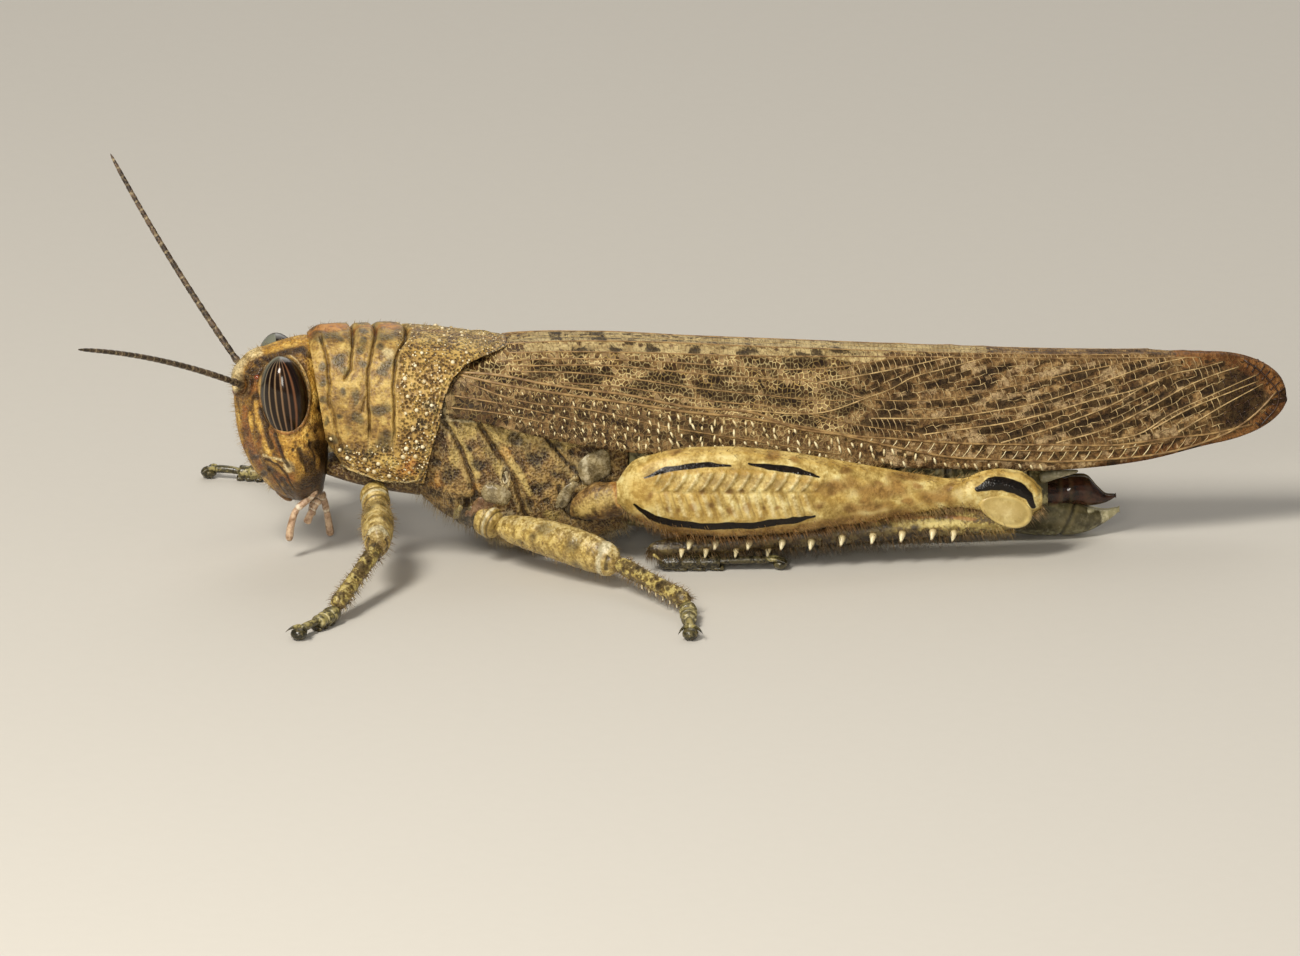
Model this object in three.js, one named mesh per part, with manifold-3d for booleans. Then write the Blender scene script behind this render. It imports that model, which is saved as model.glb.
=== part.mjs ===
// A life-size adult female tree locust at rest: belly low, wings folded like a roof, jumping legs closed.
// Millimetres. The head looks along -X, +Y is the animal's right side and +Z is up. The floor is z = 0.
import * as THREE from "three";
import { mergeVertices } from "three/addons/utils/BufferGeometryUtils.js";
import Module from "manifold-3d";

const wasm = await Module();
wasm.setup();

// Driving sizes
const seam = 0.13; // clear gap that a joint between two plates keeps
const wingThickness = 0.5;
const feelerRadius = 0.27;
const eye = { centre: [-25.35, 3.0, 12.15], radii: [1.58, 1.75, 2.58], lean: 0.12 };
const sulci = { at: [-20.35, -18.85, -16.75], depth: 0.45, width: 0.24 }; // grooves across the shield

// Finishes
const finish = {
  shell: [0x9c8245, 0.6],
  shield: [0x8f7438, 0.7],
  underside: [0x8a7440, 0.75],
  eye: [0x2a1a12, 0.15],
  feeler: [0x3a2c20, 0.6],
  palp: [0xc9a987, 0.5],
  wing: [0x7d6848, 0.5],
  membrane: [0xa89a80, 0.4],
  thigh: [0xc0a45a, 0.5],
  shin: [0x8f7f4c, 0.5],
  foot: [0x4d4630, 0.6],
  valve: [0x3b3426, 0.35],
};

// A smooth function through rows of [position, value, value, ...]; it gives the values at any position.
function through(rows) {
  const width = rows[0].length - 1;
  const curve = new THREE.CubicInterpolant(
    rows.map((row) => row[0]),
    rows.flatMap((row) => row.slice(1)),
    width,
    new Float64Array(width),
  );
  return (position) => Array.from(curve.evaluate(position));
}

// One closed geometry facing outwards, with only its positions.
function closed(geometry) {
  geometry.deleteAttribute("normal");
  geometry.deleteAttribute("uv");
  const merged = mergeVertices(geometry, 1e-4);
  const at = merged.getAttribute("position");
  const index = merged.index.array;
  const corner = [new THREE.Vector3(), new THREE.Vector3(), new THREE.Vector3()];
  let volume = 0;
  for (let i = 0; i < index.length; i += 3) {
    corner.forEach((v, k) => v.fromBufferAttribute(at, index[i + k]));
    volume += corner[0].dot(corner[1].cross(corner[2]));
  }
  if (volume < 0)
    for (let i = 0; i < index.length; i += 3)
      [index[i + 1], index[i + 2]] = [index[i + 2], index[i + 1]];
  return merged;
}

// A capped tube whose points are placed by place(t, angle, reach): t runs along it and reach is 0 at a cap's centre.
function loft(sides, steps, place) {
  const geometry = new THREE.CylinderGeometry(1, 1, 1, sides, steps);
  const at = geometry.getAttribute("position");
  for (let i = 0; i < at.count; i++) {
    const reach = Math.min(1, Math.hypot(at.getX(i), at.getZ(i)));
    const angle = Math.atan2(at.getZ(i), at.getX(i));
    at.setXYZ(i, ...place(0.5 - at.getY(i), angle, reach));
  }
  return closed(geometry);
}

// A plate bent out of a flat box: place(t, s, depth) with t along it, s across it and depth 0 to 1 through it.
function plate(alongSteps, acrossSteps, place) {
  const geometry = new THREE.BoxGeometry(1, 1, 1, alongSteps, 1, acrossSteps);
  const at = geometry.getAttribute("position");
  for (let i = 0; i < at.count; i++)
    at.setXYZ(i, ...place(at.getX(i) + 0.5, at.getZ(i) + 0.5, at.getY(i) + 0.5));
  return closed(geometry);
}

const lerp = THREE.MathUtils.lerp;
const power = (value, exponent) => Math.sign(value) * Math.abs(value) ** exponent;

// A limb from one joint to the next. radii gives [across, deep] at t; the ends are rounded, and nothing goes below the floor.
function limb(from, to, sides, steps, radii, bow = 0) {
  const start = new THREE.Vector3(...from);
  const end = new THREE.Vector3(...to);
  const along = end.clone().sub(start).normalize();
  const across = new THREE.Vector3(0, 0, 1).cross(along).normalize();
  const deep = along.clone().cross(across);
  return loft(sides, steps, (t, angle, reach) => {
    const eased = (1 - Math.cos(Math.PI * t)) / 2; // rings crowd towards the rounded ends
    const round = Math.sqrt(Math.max(0.12, 1 - (2 * eased - 1) ** 8));
    const [wide, high] = radii(eased);
    const p = start.clone().lerp(end, eased);
    p.z += bow * Math.sin(Math.PI * eased);
    p.addScaledVector(across, wide * round * reach * Math.cos(angle));
    p.addScaledVector(deep, high * round * reach * Math.sin(angle));
    return [p.x, p.y, Math.max(0, p.z)];
  });
}

// Solids for the joins and cuts
function solid(geometry) {
  return new wasm.Manifold(
    new wasm.Mesh({
      numProp: 3,
      vertProperties: geometry.getAttribute("position").array,
      triVerts: new Uint32Array(geometry.index.array),
    }),
  );
}

// The same shape with every point moved out along its normal, which leaves a seam around it when it is cut away.
function swollen(geometry, by = seam) {
  const grown = geometry.clone();
  grown.computeVertexNormals();
  const at = grown.getAttribute("position");
  const out = grown.getAttribute("normal");
  for (let i = 0; i < at.count; i++)
    at.setXYZ(
      i,
      at.getX(i) + by * out.getX(i),
      at.getY(i) + by * out.getY(i),
      at.getZ(i) + by * out.getZ(i),
    );
  return solid(grown).simplify(0.06);
}

function geometryOf(made) {
  const largest = made.decompose().reduce((a, b) => (b.volume() > a.volume() ? b : a)).simplify(0.05);
  const mesh = largest.getMesh();
  const position = new Float32Array(mesh.numVert * 3);
  for (let i = 0; i < mesh.numVert; i++)
    position.set(mesh.vertProperties.subarray(i * mesh.numProp, i * mesh.numProp + 3), i * 3);
  return new THREE.BufferGeometry()
    .setAttribute("position", new THREE.BufferAttribute(position, 3))
    .setIndex(new THREE.BufferAttribute(mesh.triVerts, 1));
}

const without = (geometry, ...cutters) =>
  geometryOf(cutters.reduce((left, cutter) => left.subtract(swollen(cutter)), solid(geometry)));
const joined = (...geometries) =>
  geometryOf(geometries.map(solid).reduce((all, one) => all.add(one)));

// The other side of the body
function mirrored(geometry) {
  return closed(geometry.clone().scale(1, -1, 1));
}

// Head capsule: level sections from the crown down to the jaws, [height, front, back, half width]
const headSection = through([
  [3.7, -25.2, -23.0, 2.0],
  [4.3, -25.9, -22.5, 2.6],
  [5.4, -26.8, -22.2, 3.4],
  [6.8, -27.6, -22.1, 4.0],
  [8.3, -28.15, -22.2, 4.3],
  [10.4, -28.45, -22.3, 4.15],
  [12.0, -28.5, -22.4, 3.75],
  [13.1, -28.25, -22.5, 3.3],
  [13.9, -27.4, -22.55, 2.8],
  [14.7, -26.0, -22.6, 2.1],
  [15.1, -24.7, -22.9, 1.1],
]);
const headGeometry = loft(16, 12, (t, angle, reach) => {
  const z = lerp(15.1, 3.7, t);
  const [front, back, halfWidth] = headSection(z);
  const fore = Math.cos(angle) * reach; // -1 at the face, 1 at the nape
  const side = Math.sin(angle) * reach;
  const narrowing = 1 + 0.2 * fore - 0.05 * fore * fore; // the face is narrower than the cheeks
  return [(front + back) / 2 + (fore * (back - front)) / 2, side * halfWidth * narrowing, z];
});
const labrumGeometry = limb([-26.95, 0, 5.5], [-24.75, 0, 3.2], 8, 5, () => [1.25, 0.32]);

function eyeGeometry(side) {
  const ball = new THREE.SphereGeometry(1, 12, 9);
  ball.rotateX(Math.PI / 2);
  ball.scale(...eye.radii);
  ball.rotateY(-eye.lean);
  ball.translate(eye.centre[0], side * eye.centre[1], eye.centre[2]);
  return closed(ball);
}

// Feelers: a tube along a gentle bend, thick at the scape
function antennaGeometry(base, tip, bend) {
  const route = new THREE.QuadraticBezierCurve3(
    new THREE.Vector3(...base),
    new THREE.Vector3(...base).lerp(new THREE.Vector3(...tip), 0.5).add(new THREE.Vector3(...bend)),
    new THREE.Vector3(...tip),
  );
  return loft(6, 12, (t, angle, reach) => {
    const centre = route.getPoint(t);
    const along = route.getTangent(t);
    const across = new THREE.Vector3(0, 0, 1).cross(along).normalize();
    const radius = reach * (t < 0.06 ? 0.42 : feelerRadius);
    centre.addScaledVector(across, radius * Math.cos(angle));
    centre.addScaledVector(along.cross(across), radius * Math.sin(angle));
    return centre.toArray();
  });
}

// Shield over the first body ring: upright sections along the body, [place, ridge, lower edge, half width]
const shieldSection = through([
  [-23.6, 15.1, 8.4, 3.9],
  [-22.2, 15.75, 6.1, 4.35],
  [-20.0, 16.0, 5.2, 4.75],
  [-17.8, 16.05, 5.1, 5.1],
  [-15.8, 15.7, 5.1, 5.4],
  [-13.8, 15.45, 5.3, 5.6],
  [-12.0, 15.2, 6.0, 5.6],
  [-9.6, 15.05, 8.0, 5.2],
]);
const shieldRings = [
  -23.6, -22.9, -21.8, -20.8, -20.35, -19.9, -19.3, -18.85, -18.4, -17.8, -17.2, -16.75, -16.3, -15.4, -14.2,
  -13.0, -11.8, -10.6, -9.6,
];
const shieldBlock = loft(16, shieldRings.length - 1, (t, angle, reach) => {
  const lean = 0.16; // the front edge leans back towards its lower corner
  let x = shieldRings[Math.round(t * (shieldRings.length - 1))];
  const [ridge, lower, halfWidth] = shieldSection(x);
  const waist = lerp(lower, ridge, 0.42);
  const up = Math.sin(angle);
  const grooves = sulci.at.reduce((sum, at) => sum + Math.exp(-(((x - at) / sulci.width) ** 2)), 0);
  const inset = up > 0 ? sulci.depth * grooves * up : 0;
  const height = up > 0 ? ridge - waist - inset : waist - lower;
  const y = reach * power(Math.cos(angle), 0.72) * halfWidth;
  const z = waist + reach * power(up, up > 0 ? 1.05 : 0.38) * height;
  x += lean * Math.max(0, 15.3 - z) * (1 - t);
  return [x, y, z];
});
// What the hind edge of the shield leaves open, from its lower corner round to the point over the wings
const hindEdge = new THREE.Shape();
hindEdge.moveTo(-16.0, 4.0);
hindEdge.splineThru(
  [
    [-15.85, 6.2],
    [-14.85, 10.4],
    [-14.15, 12.4],
    [-13.2, 13.75],
    [-12.0, 14.5],
    [-10.6, 14.8],
    [-9.0, 14.85],
  ].map(([x, z]) => new THREE.Vector2(x, z)),
);
hindEdge.lineTo(-5, 14.85);
hindEdge.lineTo(-5, 4);
const hindCutter = new THREE.ExtrudeGeometry(hindEdge, { depth: 20, bevelEnabled: false, curveSegments: 10 });
hindCutter.translate(0, 0, -10);
hindCutter.rotateX(Math.PI / 2);

// Breast under the shield, between the fore legs
const breastSection = through([
  [-22.4, 5.8, 4.6, 1.7],
  [-21.0, 6.1, 3.3, 2.6],
  [-18.5, 6.1, 2.6, 3.1],
  [-16.9, 6.1, 2.3, 3.2],
]);
const trunkSection = through([
  [-16.8, 12.2, 1.9, 3.9],
  [-15.0, 12.7, 0.95, 4.8],
  [-12.0, 13.1, 0.6, 5.1],
  [-8.5, 13.2, 0.55, 5.1],
  [-5.0, 13.0, 0.75, 4.9],
  [-1.8, 12.2, 1.5, 4.3],
]);
const bellySection = through([
  [-1.7, 11.8, 1.5, 3.7],
  [3.0, 11.6, 0.9, 3.9],
  [10.0, 10.6, 0.6, 3.7],
  [18.0, 8.9, 0.4, 3.1],
  [24.0, 7.0, 0.25, 2.5],
  [28.0, 5.1, 0.3, 1.9],
  [29.2, 4.4, 0.6, 1.5],
]);
// A body ring block: sections of a rounded box along the body
function trunk(section, from, to, sides, steps, fullness) {
  return loft(sides, steps, (t, angle, reach) => {
    const x = lerp(from, to, t);
    const [top, bottom, halfWidth] = section(x);
    const y = reach * power(Math.cos(angle), fullness) * halfWidth;
    const z = (top + bottom) / 2 + (reach * power(Math.sin(angle), fullness) * (top - bottom)) / 2;
    return [x, y, z];
  });
}
const breastGeometry = trunk(breastSection, -22.4, -16.9, 10, 4, 0.7);
const thoraxBlock = trunk(trunkSection, -16.8, -1.8, 16, 8, 0.72);
const bellyBlock = trunk(bellySection, -1.7, 29.2, 14, 13, 0.85);

// Folded wings: [place, top edge, lower edge, shoulder half width, lower half width]
const wingSection = through([
  [-14.4, 13.5, 10.95, 2.7, 5.3],
  [-12.0, 14.2, 10.5, 2.45, 5.75],
  [-9.5, 14.72, 9.85, 2.2, 5.95],
  [-4.0, 14.85, 8.6, 1.9, 6.05],
  [3.0, 14.45, 7.7, 1.65, 5.9],
  [12.0, 13.95, 6.8, 1.4, 5.2],
  [20.0, 13.5, 6.15, 1.2, 4.3],
  [28.0, 13.15, 5.65, 0.95, 3.4],
  [34.0, 13.0, 6.0, 0.8, 2.6],
  [39.0, 12.9, 6.95, 0.65, 1.9],
  [42.0, 12.25, 7.95, 0.5, 1.4],
  [43.9, 10.6, 9.3, 0.4, 0.9],
]);
function wingSheet(from, to, firstAcross, lastAcross, inward, steps, acrossSteps) {
  return plate(steps, acrossSteps, (t, s, depth) => {
    const x = lerp(from, to, 1 - (1 - t) ** 1.35);
    const [top, low, shoulder, flank] = wingSection(x);
    const path = new THREE.CubicBezierCurve(
      new THREE.Vector2(-0.08, top),
      new THREE.Vector2(-1.45 * shoulder, top + 0.25),
      new THREE.Vector2(-0.84 * flank, lerp(top, low, 0.28)),
      new THREE.Vector2(-flank, low),
    );
    const across = lerp(firstAcross, lastAcross, s);
    const at = path.getPoint(across);
    const tangent = path.getTangent(across);
    const sunk = inward + (1 - depth) * wingThickness; // square to the sheet, towards the body
    return [x, Math.min(-0.05, at.x - tangent.y * sunk), at.y + tangent.x * sunk];
  });
}
const tegmenLeft = wingSheet(-14.4, 43.9, 0, 1, 0, 19, 6);
const hindwingLeft = wingSheet(-7.0, 38.5, 0.06, 0.8, wingThickness + 0.1, 9, 4);

// Valves and feelers at the tail
const upperValve = through([
  [28.5, 4.35, 2.75, 1.25],
  [29.7, 4.5, 2.6, 1.15],
  [30.8, 4.1, 2.55, 0.95],
  [31.6, 3.25, 2.6, 0.6],
  [32.1, 3.1, 2.75, 0.35],
]);
const lowerValve = through([
  [28.5, 2.6, 0.35, 1.3],
  [29.7, 2.45, 0.4, 1.15],
  [30.8, 2.1, 0.85, 0.85],
  [31.7, 2.2, 1.45, 0.5],
  [32.4, 2.35, 2.0, 0.3],
]);

// Walking legs: [hip, trochanter, knee, ankle, toe]
const walkingLegs = [
  ["foreleg", "left", [-19.3, -2.9, 5.0], [-19.1, -4.7, 4.2], [-19.5, -11.7, 3.5], [-22.7, -17.9, 1.15], [-25.3, -21.7, 0.5]],
  ["foreleg", "right", [-19.3, 2.9, 5.0], [-19.2, 4.7, 4.2], [-21.0, 11.9, 4.4], [-25.3, 17.0, 1.2], [-29.3, 18.3, 0.5]],
  ["midleg", "left", [-12.0, -3.9, 3.3], [-10.8, -5.1, 2.9], [-3.0, -11.8, 2.0], [1.3, -18.4, 1.15], [1.1, -23.5, 0.5]],
  ["midleg", "right", [-12.0, 3.9, 3.3], [-10.8, 5.1, 2.9], [-3.0, 11.8, 2.0], [1.3, 18.4, 1.15], [1.1, 23.5, 0.5]],
];

// A walking foot: padded sole, slender last ring, two claws and a round pad between them
function foot(ankle, toe) {
  const heel = new THREE.Vector3(...ankle);
  const tip = new THREE.Vector3(...toe);
  const onward = tip.clone().sub(heel).setZ(0).normalize();
  const sideways = new THREE.Vector3(-onward.y, onward.x, 0);
  const point = (share, across, z) =>
    heel.clone().lerp(tip, share).addScaledVector(sideways, across).setZ(z).toArray();
  const claw = (turn) => limb(point(0.86, 0, 0.7), point(1.1, 0.75 * turn, 0.62), 5, 2, () => [0.25, 0.25]);
  return joined(
    limb(point(0, 0, heel.z - 0.4), point(0.5, 0, 0.42), 6, 3, () => [0.56, 0.52]),
    limb(point(0.44, 0, 0.45), point(0.98, 0, 0.6), 6, 2, () => [0.3, 0.3]),
    limb(point(0.86, 0, 0.45), point(1.1, 0, 0.45), 6, 2, () => [0.52, 0.5]),
    claw(1),
    claw(-1),
  );
}

const femurRadii = (t) => [0.78 + 0.34 * Math.sin(Math.PI * t), 0.82 + 0.45 * Math.sin(2.4 * t)];
const tibiaRadii = (t) => [lerp(0.62, 0.5, t), lerp(0.68, 0.52, t)];
const coxae = walkingLegs.map(([, , hip, trochanter]) => limb(hip, trochanter, 8, 3, () => [1.0, 1.15]));

// Jumping leg, left side: a deep thigh with the shin closed under it
const hindHip = [-5.9, -3.6, 3.7];
const hindTrochanter = [-3.0, -5.9, 4.6];
// [place, top, bottom, half thickness, middle y]
const thighSection = through([
  [-2.7, 6.3, 4.8, 0.6, -6.5],
  [-2.0, 7.4, 4.2, 1.05, -6.7],
  [0.0, 8.3, 3.2, 1.5, -7.0],
  [4.5, 8.7, 2.4, 1.7, -7.1],
  [9.0, 8.2, 2.6, 1.6, -6.95],
  [13.5, 7.2, 3.0, 1.3, -6.6],
  [18.0, 6.2, 3.65, 1.0, -6.2],
  [21.0, 5.75, 3.9, 0.85, -6.0],
  [23.5, 6.35, 3.3, 0.95, -5.9],
  [25.2, 6.1, 2.9, 0.95, -5.8],
  [26.6, 4.9, 3.8, 0.6, -5.8],
]);
const thighBlock = loft(12, 17, (t, angle, reach) => {
  const x = lerp(-2.7, 26.6, (1 - Math.cos(Math.PI * t)) / 2);
  const [top, bottom, half, middle] = thighSection(x);
  const y = middle + reach * power(Math.cos(angle), 0.8) * half;
  return [x, y, (top + bottom) / 2 + (reach * Math.sin(angle) * (top - bottom)) / 2];
});
const hindKnee = [25.6, -5.8, 3.1];
const hindAnkle = [-0.6, -6.9, 1.55];
const shinBlock = limb(hindKnee, hindAnkle, 8, 9, (t) => [lerp(0.85, 0.62, t), lerp(0.9, 0.68, t)]);
const hindFoot = joined(
  limb([0.1, -6.95, 0.45], [3.4, -7.0, 0.4], 6, 4, () => [0.5, 0.45]),
  limb([3.0, -7.0, 0.42], [5.0, -7.05, 0.4], 6, 2, () => [0.42, 0.42]),
  limb([4.6, -7.05, 0.42], [7.7, -7.15, 0.5], 6, 2, () => [0.3, 0.3]),
  limb([7.2, -7.1, 0.42], [8.4, -7.2, 0.42], 6, 2, () => [0.45, 0.46]),
  limb([7.3, -7.2, 0.5], [8.6, -7.95, 0.45], 5, 2, () => [0.25, 0.25]),
  limb([7.3, -7.2, 0.5], [8.6, -6.45, 0.45], 5, 2, () => [0.25, 0.25]),
);
const hindCoxa = limb(hindHip, hindTrochanter, 10, 4, () => [1.3, 1.55]);

// Palps under the jaws: [base, bend, tip]
const palps = {
  palp_maxillary_left: [[-23.4, -2.3, 4.3], [-24.2, -2.4, 3.3], [-25.0, -2.4, 1.3]],
  palp_maxillary_right: [[-22.7, 2.2, 4.4], [-22.3, 2.3, 3.3], [-21.86, 2.3, 1.0]],
  palp_labial_left: [[-22.9, -0.9, 3.9], [-23.4, -1.1, 3.1], [-23.8, -1.15, 2.2]],
  palp_labial_right: [[-22.9, 0.9, 3.9], [-23.2, 1.1, 3.1], [-23.3, 1.15, 2.1]],
};

const root = new THREE.Group();
function add(name, geometry, slot) {
  const [color, roughness] = finish[slot];
  const mesh = new THREE.Mesh(geometry, new THREE.MeshStandardMaterial({ color, roughness, metalness: 0 }));
  mesh.name = name;
  root.add(mesh);
}
function addPair(name, leftGeometry, slot) {
  add(name + "_left", leftGeometry, slot);
  add(name + "_right", mirrored(leftGeometry), slot);
}

const eyes = { left: eyeGeometry(-1), right: eyeGeometry(1) };
const feelers = {
  left: antennaGeometry([-28.2, -1.1, 12.2], [-39.9, -12.0, 18.0], [0, 0, 1.0]),
  right: antennaGeometry([-28.0, 1.2, 12.7], [-36.8, 6.0, 26.9], [-0.6, 0, -0.1]),
};
const tegmenRight = mirrored(tegmenLeft);
const hindCoxaRight = mirrored(hindCoxa);
const head = without(headGeometry, eyes.left, eyes.right, labrumGeometry);

add("head", head, "shell");
add("labrum", labrumGeometry, "shell");
for (const side of ["left", "right"]) {
  add("eye_" + side, eyes[side], "eye");
  add("antenna_" + side, without(feelers[side], headGeometry), "feeler");
}
for (const [name, [base, bend, tip]] of Object.entries(palps)) {
  const radius = () => [0.27, 0.27];
  const palp = joined(limb(base, bend, 6, 2, radius), limb(bend, tip, 6, 2, radius));
  add(name, without(palp, headGeometry), "palp");
}

const hips = [...coxae, hindCoxa, hindCoxaRight];
const shieldNeighbours = [headGeometry, breastGeometry, thoraxBlock, closed(hindCutter), tegmenLeft, tegmenRight];
add("breast", without(breastGeometry, headGeometry, ...coxae), "underside");
add("thorax", without(thoraxBlock, tegmenLeft, tegmenRight, breastGeometry, ...hips), "shell");
add("pronotum", without(shieldBlock, ...shieldNeighbours, ...coxae), "shield");
addPair("tegmen", tegmenLeft, "wing");
addPair("hindwing", without(hindwingLeft, bellyBlock, thoraxBlock), "membrane");
add("abdomen", without(bellyBlock, thoraxBlock, hindCoxa, hindCoxaRight), "underside");

const upperValves = trunk(upperValve, 28.5, 32.1, 8, 5, 0.9);
const lowerValves = trunk(lowerValve, 28.5, 32.4, 8, 5, 0.9);
const cercus = limb([26.8, -1.75, 4.6], [29.3, -1.55, 5.0], 6, 3, (t) => [lerp(0.45, 0.27, t), lerp(0.45, 0.27, t)]);
add("ovipositor_upper", without(upperValves, bellyBlock), "valve");
add("ovipositor_lower", without(lowerValves, bellyBlock, upperValves), "valve");
addPair("cercus", without(cercus, bellyBlock, upperValves), "underside");

walkingLegs.forEach(([name, side, , trochanter, knee, ankle, toe], i) => {
  const femur = limb(trochanter, knee, 8, 5, femurRadii);
  const tibia = limb(knee, ankle, 8, 4, tibiaRadii);
  add(`${name}_coxa_${side}`, coxae[i], "shell");
  add(`${name}_femur_${side}`, without(femur, coxae[i]), "thigh");
  add(`${name}_tibia_${side}`, without(tibia, femur), "shin");
  add(`${name}_tarsus_${side}`, without(foot(ankle, toe), tibia), "foot");
});
addPair("hindleg_coxa", hindCoxa, "shell");
addPair("hindleg_femur", without(thighBlock, shinBlock, hindCoxa, tegmenLeft), "thigh");
addPair("hindleg_tibia", shinBlock, "shin");
addPair("hindleg_tarsus", without(hindFoot, shinBlock), "foot");

// The origin stands on the floor under the middle of the whole animal.
const box = new THREE.Box3().setFromObject(root);
const middle = box.getCenter(new THREE.Vector3());
root.position.set(-middle.x, -middle.y, -box.min.z);

export default root;
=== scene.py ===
import math

import bmesh
import bpy
import numpy as np
from mathutils import Matrix, Vector
from mathutils.bvhtree import BVHTree


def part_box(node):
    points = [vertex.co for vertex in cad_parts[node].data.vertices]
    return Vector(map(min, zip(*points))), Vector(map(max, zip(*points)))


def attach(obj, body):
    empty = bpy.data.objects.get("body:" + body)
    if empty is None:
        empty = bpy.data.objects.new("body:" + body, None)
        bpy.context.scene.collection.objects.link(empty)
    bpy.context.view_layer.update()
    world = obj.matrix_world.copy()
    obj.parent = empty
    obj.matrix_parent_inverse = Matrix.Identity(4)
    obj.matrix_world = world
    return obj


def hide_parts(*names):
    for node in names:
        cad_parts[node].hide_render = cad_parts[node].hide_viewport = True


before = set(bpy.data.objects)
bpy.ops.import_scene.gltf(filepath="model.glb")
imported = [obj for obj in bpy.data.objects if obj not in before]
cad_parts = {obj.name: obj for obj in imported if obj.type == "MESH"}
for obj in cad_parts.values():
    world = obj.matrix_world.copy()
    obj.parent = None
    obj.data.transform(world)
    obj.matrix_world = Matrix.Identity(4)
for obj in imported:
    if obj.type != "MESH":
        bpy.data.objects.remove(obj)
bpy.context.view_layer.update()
print("frame loaded:", len(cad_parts), "nodes")

# Everything below is modelled in mm: the head looks along -X, the near side is -Y, the floor is z = 0.
eyeSizes = {"anchor": (-25.35, 3.0, 12.15), "centre": (-25.34, 3.0, 11.78), "radii": (1.66, 1.75, 2.88),
            "lean": 0.12,
            "outline": (286.4, 393.9, 23.4, 36.9)}  # steps: middle, half width, half height
eyeLow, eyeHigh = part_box("eye_left")
eyeMiddle = (eyeLow + eyeHigh) / 2
eyeInMetres = Vector(eyeSizes["anchor"]) * 0.001
ontoFrame = Matrix.Translation((eyeMiddle.x - eyeInMetres.x, 0,
                                eyeMiddle.z - eyeInMetres.z)) @ Matrix.Scale(0.001, 4)

# Marks on the near side are given as they show to the camera, in steps across and down its picture.
# mm per step, and the step of (0, 0, 0)
sight = {"step": 0.069, "across": 650, "down": 543, "turn": 4, "rise": 16}
turn, rise = math.radians(sight["turn"]), math.radians(sight["rise"])
rightward = np.array((math.cos(turn), -math.sin(turn), 0))
backward = np.array((-math.sin(turn) * math.cos(rise), -math.cos(turn) * math.cos(rise), math.sin(rise)))
upward = np.cross(backward, rightward)


def seen(points):  # the steps at which points of the near side show; the far side counts as its mirror image
    near = np.array(points, float)
    near[..., 1] = -np.abs(near[..., 1])
    return sight["across"] + near @ rightward / sight["step"], sight["down"] - near @ upward / sight["step"]


def landing(tree, across, down):  # where the line of sight through one step meets a skin
    start = ((across - sight["across"]) * rightward + (sight["down"] - down) * upward) * sight["step"]
    hit = tree.ray_cast(Vector(start + 100 * backward), Vector(-backward))
    return (np.array(hit[0]), np.array(hit[1])) if hit[0] else None


def treeOf(mesh):
    return BVHTree.FromPolygons([v.co for v in mesh.vertices], [p.vertices for p in mesh.polygons])


def through(rows):  # a smooth function through rows of [position, value, value, ...]
    table = np.array(rows, float)
    at, values = table[:, 0], table[:, 1:]
    slopes = np.gradient(values, at, axis=0)

    def smooth(position):
        position = np.clip(np.asarray(position, float), at[0], at[-1])
        i = np.clip(np.searchsorted(at, position, side="right") - 1, 0, len(at) - 2)
        span = (at[i + 1] - at[i])[..., None]
        t = (position - at[i])[..., None] / span
        start = values[i] * (1 + 2 * t) * (1 - t) ** 2 + slopes[i] * span * t * (1 - t) ** 2
        end = values[i + 1] * t * t * (3 - 2 * t) + slopes[i + 1] * span * t * t * (t - 1)
        return np.moveaxis(start + end, -1, 0)

    return smooth


def lattice(rows, columns):
    return np.meshgrid(np.linspace(0, 1, rows + 1), np.linspace(0, 1, columns + 1), indexing="ij")


def power(value, exponent):
    return np.sign(value) * np.abs(value) ** exponent


def bump(distance, width):  # 1 on a line, fading to nothing about a width away
    return np.exp(-((distance / width) ** 2))


def lineReach(across, down, route):  # distance in steps to a bent line
    best = np.full(across.shape, 1e9)
    for (x0, y0), (x1, y1) in zip(route[:-1], route[1:]):
        dx, dy = x1 - x0, y1 - y0
        t = np.clip(((across - x0) * dx + (down - y0) * dy) / (dx * dx + dy * dy + 1e-9), 0, 1)
        best = np.minimum(best, np.hypot(across - x0 - t * dx, down - y0 - t * dy))
    return best


def outwards(points, wrap=True):  # unit normals of a lattice of points; rings run along axis 1
    along = np.gradient(points, axis=0)
    if wrap:
        ring = points[:, :-1]
        across = np.roll(ring, -1, 1) - np.roll(ring, 1, 1)
        across = np.concatenate([across, across[:, :1]], 1)
        middle = ring.mean(1, keepdims=True)
    else:
        across = np.gradient(points, axis=1)
        middle = points.mean((0, 1), keepdims=True)
    normal = np.cross(across, along)
    normal /= np.linalg.norm(normal, axis=-1, keepdims=True) + 1e-9
    return normal if (normal * (points - middle)).sum() > 0 else -normal


def blurred(values, reach):
    out = values
    for axis in (0, 1):
        padded = np.concatenate([out.take([0] * reach, axis), out, out.take([-1] * reach, axis)], axis)
        size = out.shape[axis]
        out = sum(padded.take(range(k, k + size), axis) for k in range(2 * reach + 1)) / (2 * reach + 1)
    return out


channels = {"dark": (0, 1), "deep": (0, 1.7), "ink": (0, 1), "faint": (0, 0.62), "yellow": (1, 1),
            "rust": (2, 1),
            "haze": (2, 0.85),
            "pale": (3, 1)}


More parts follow.
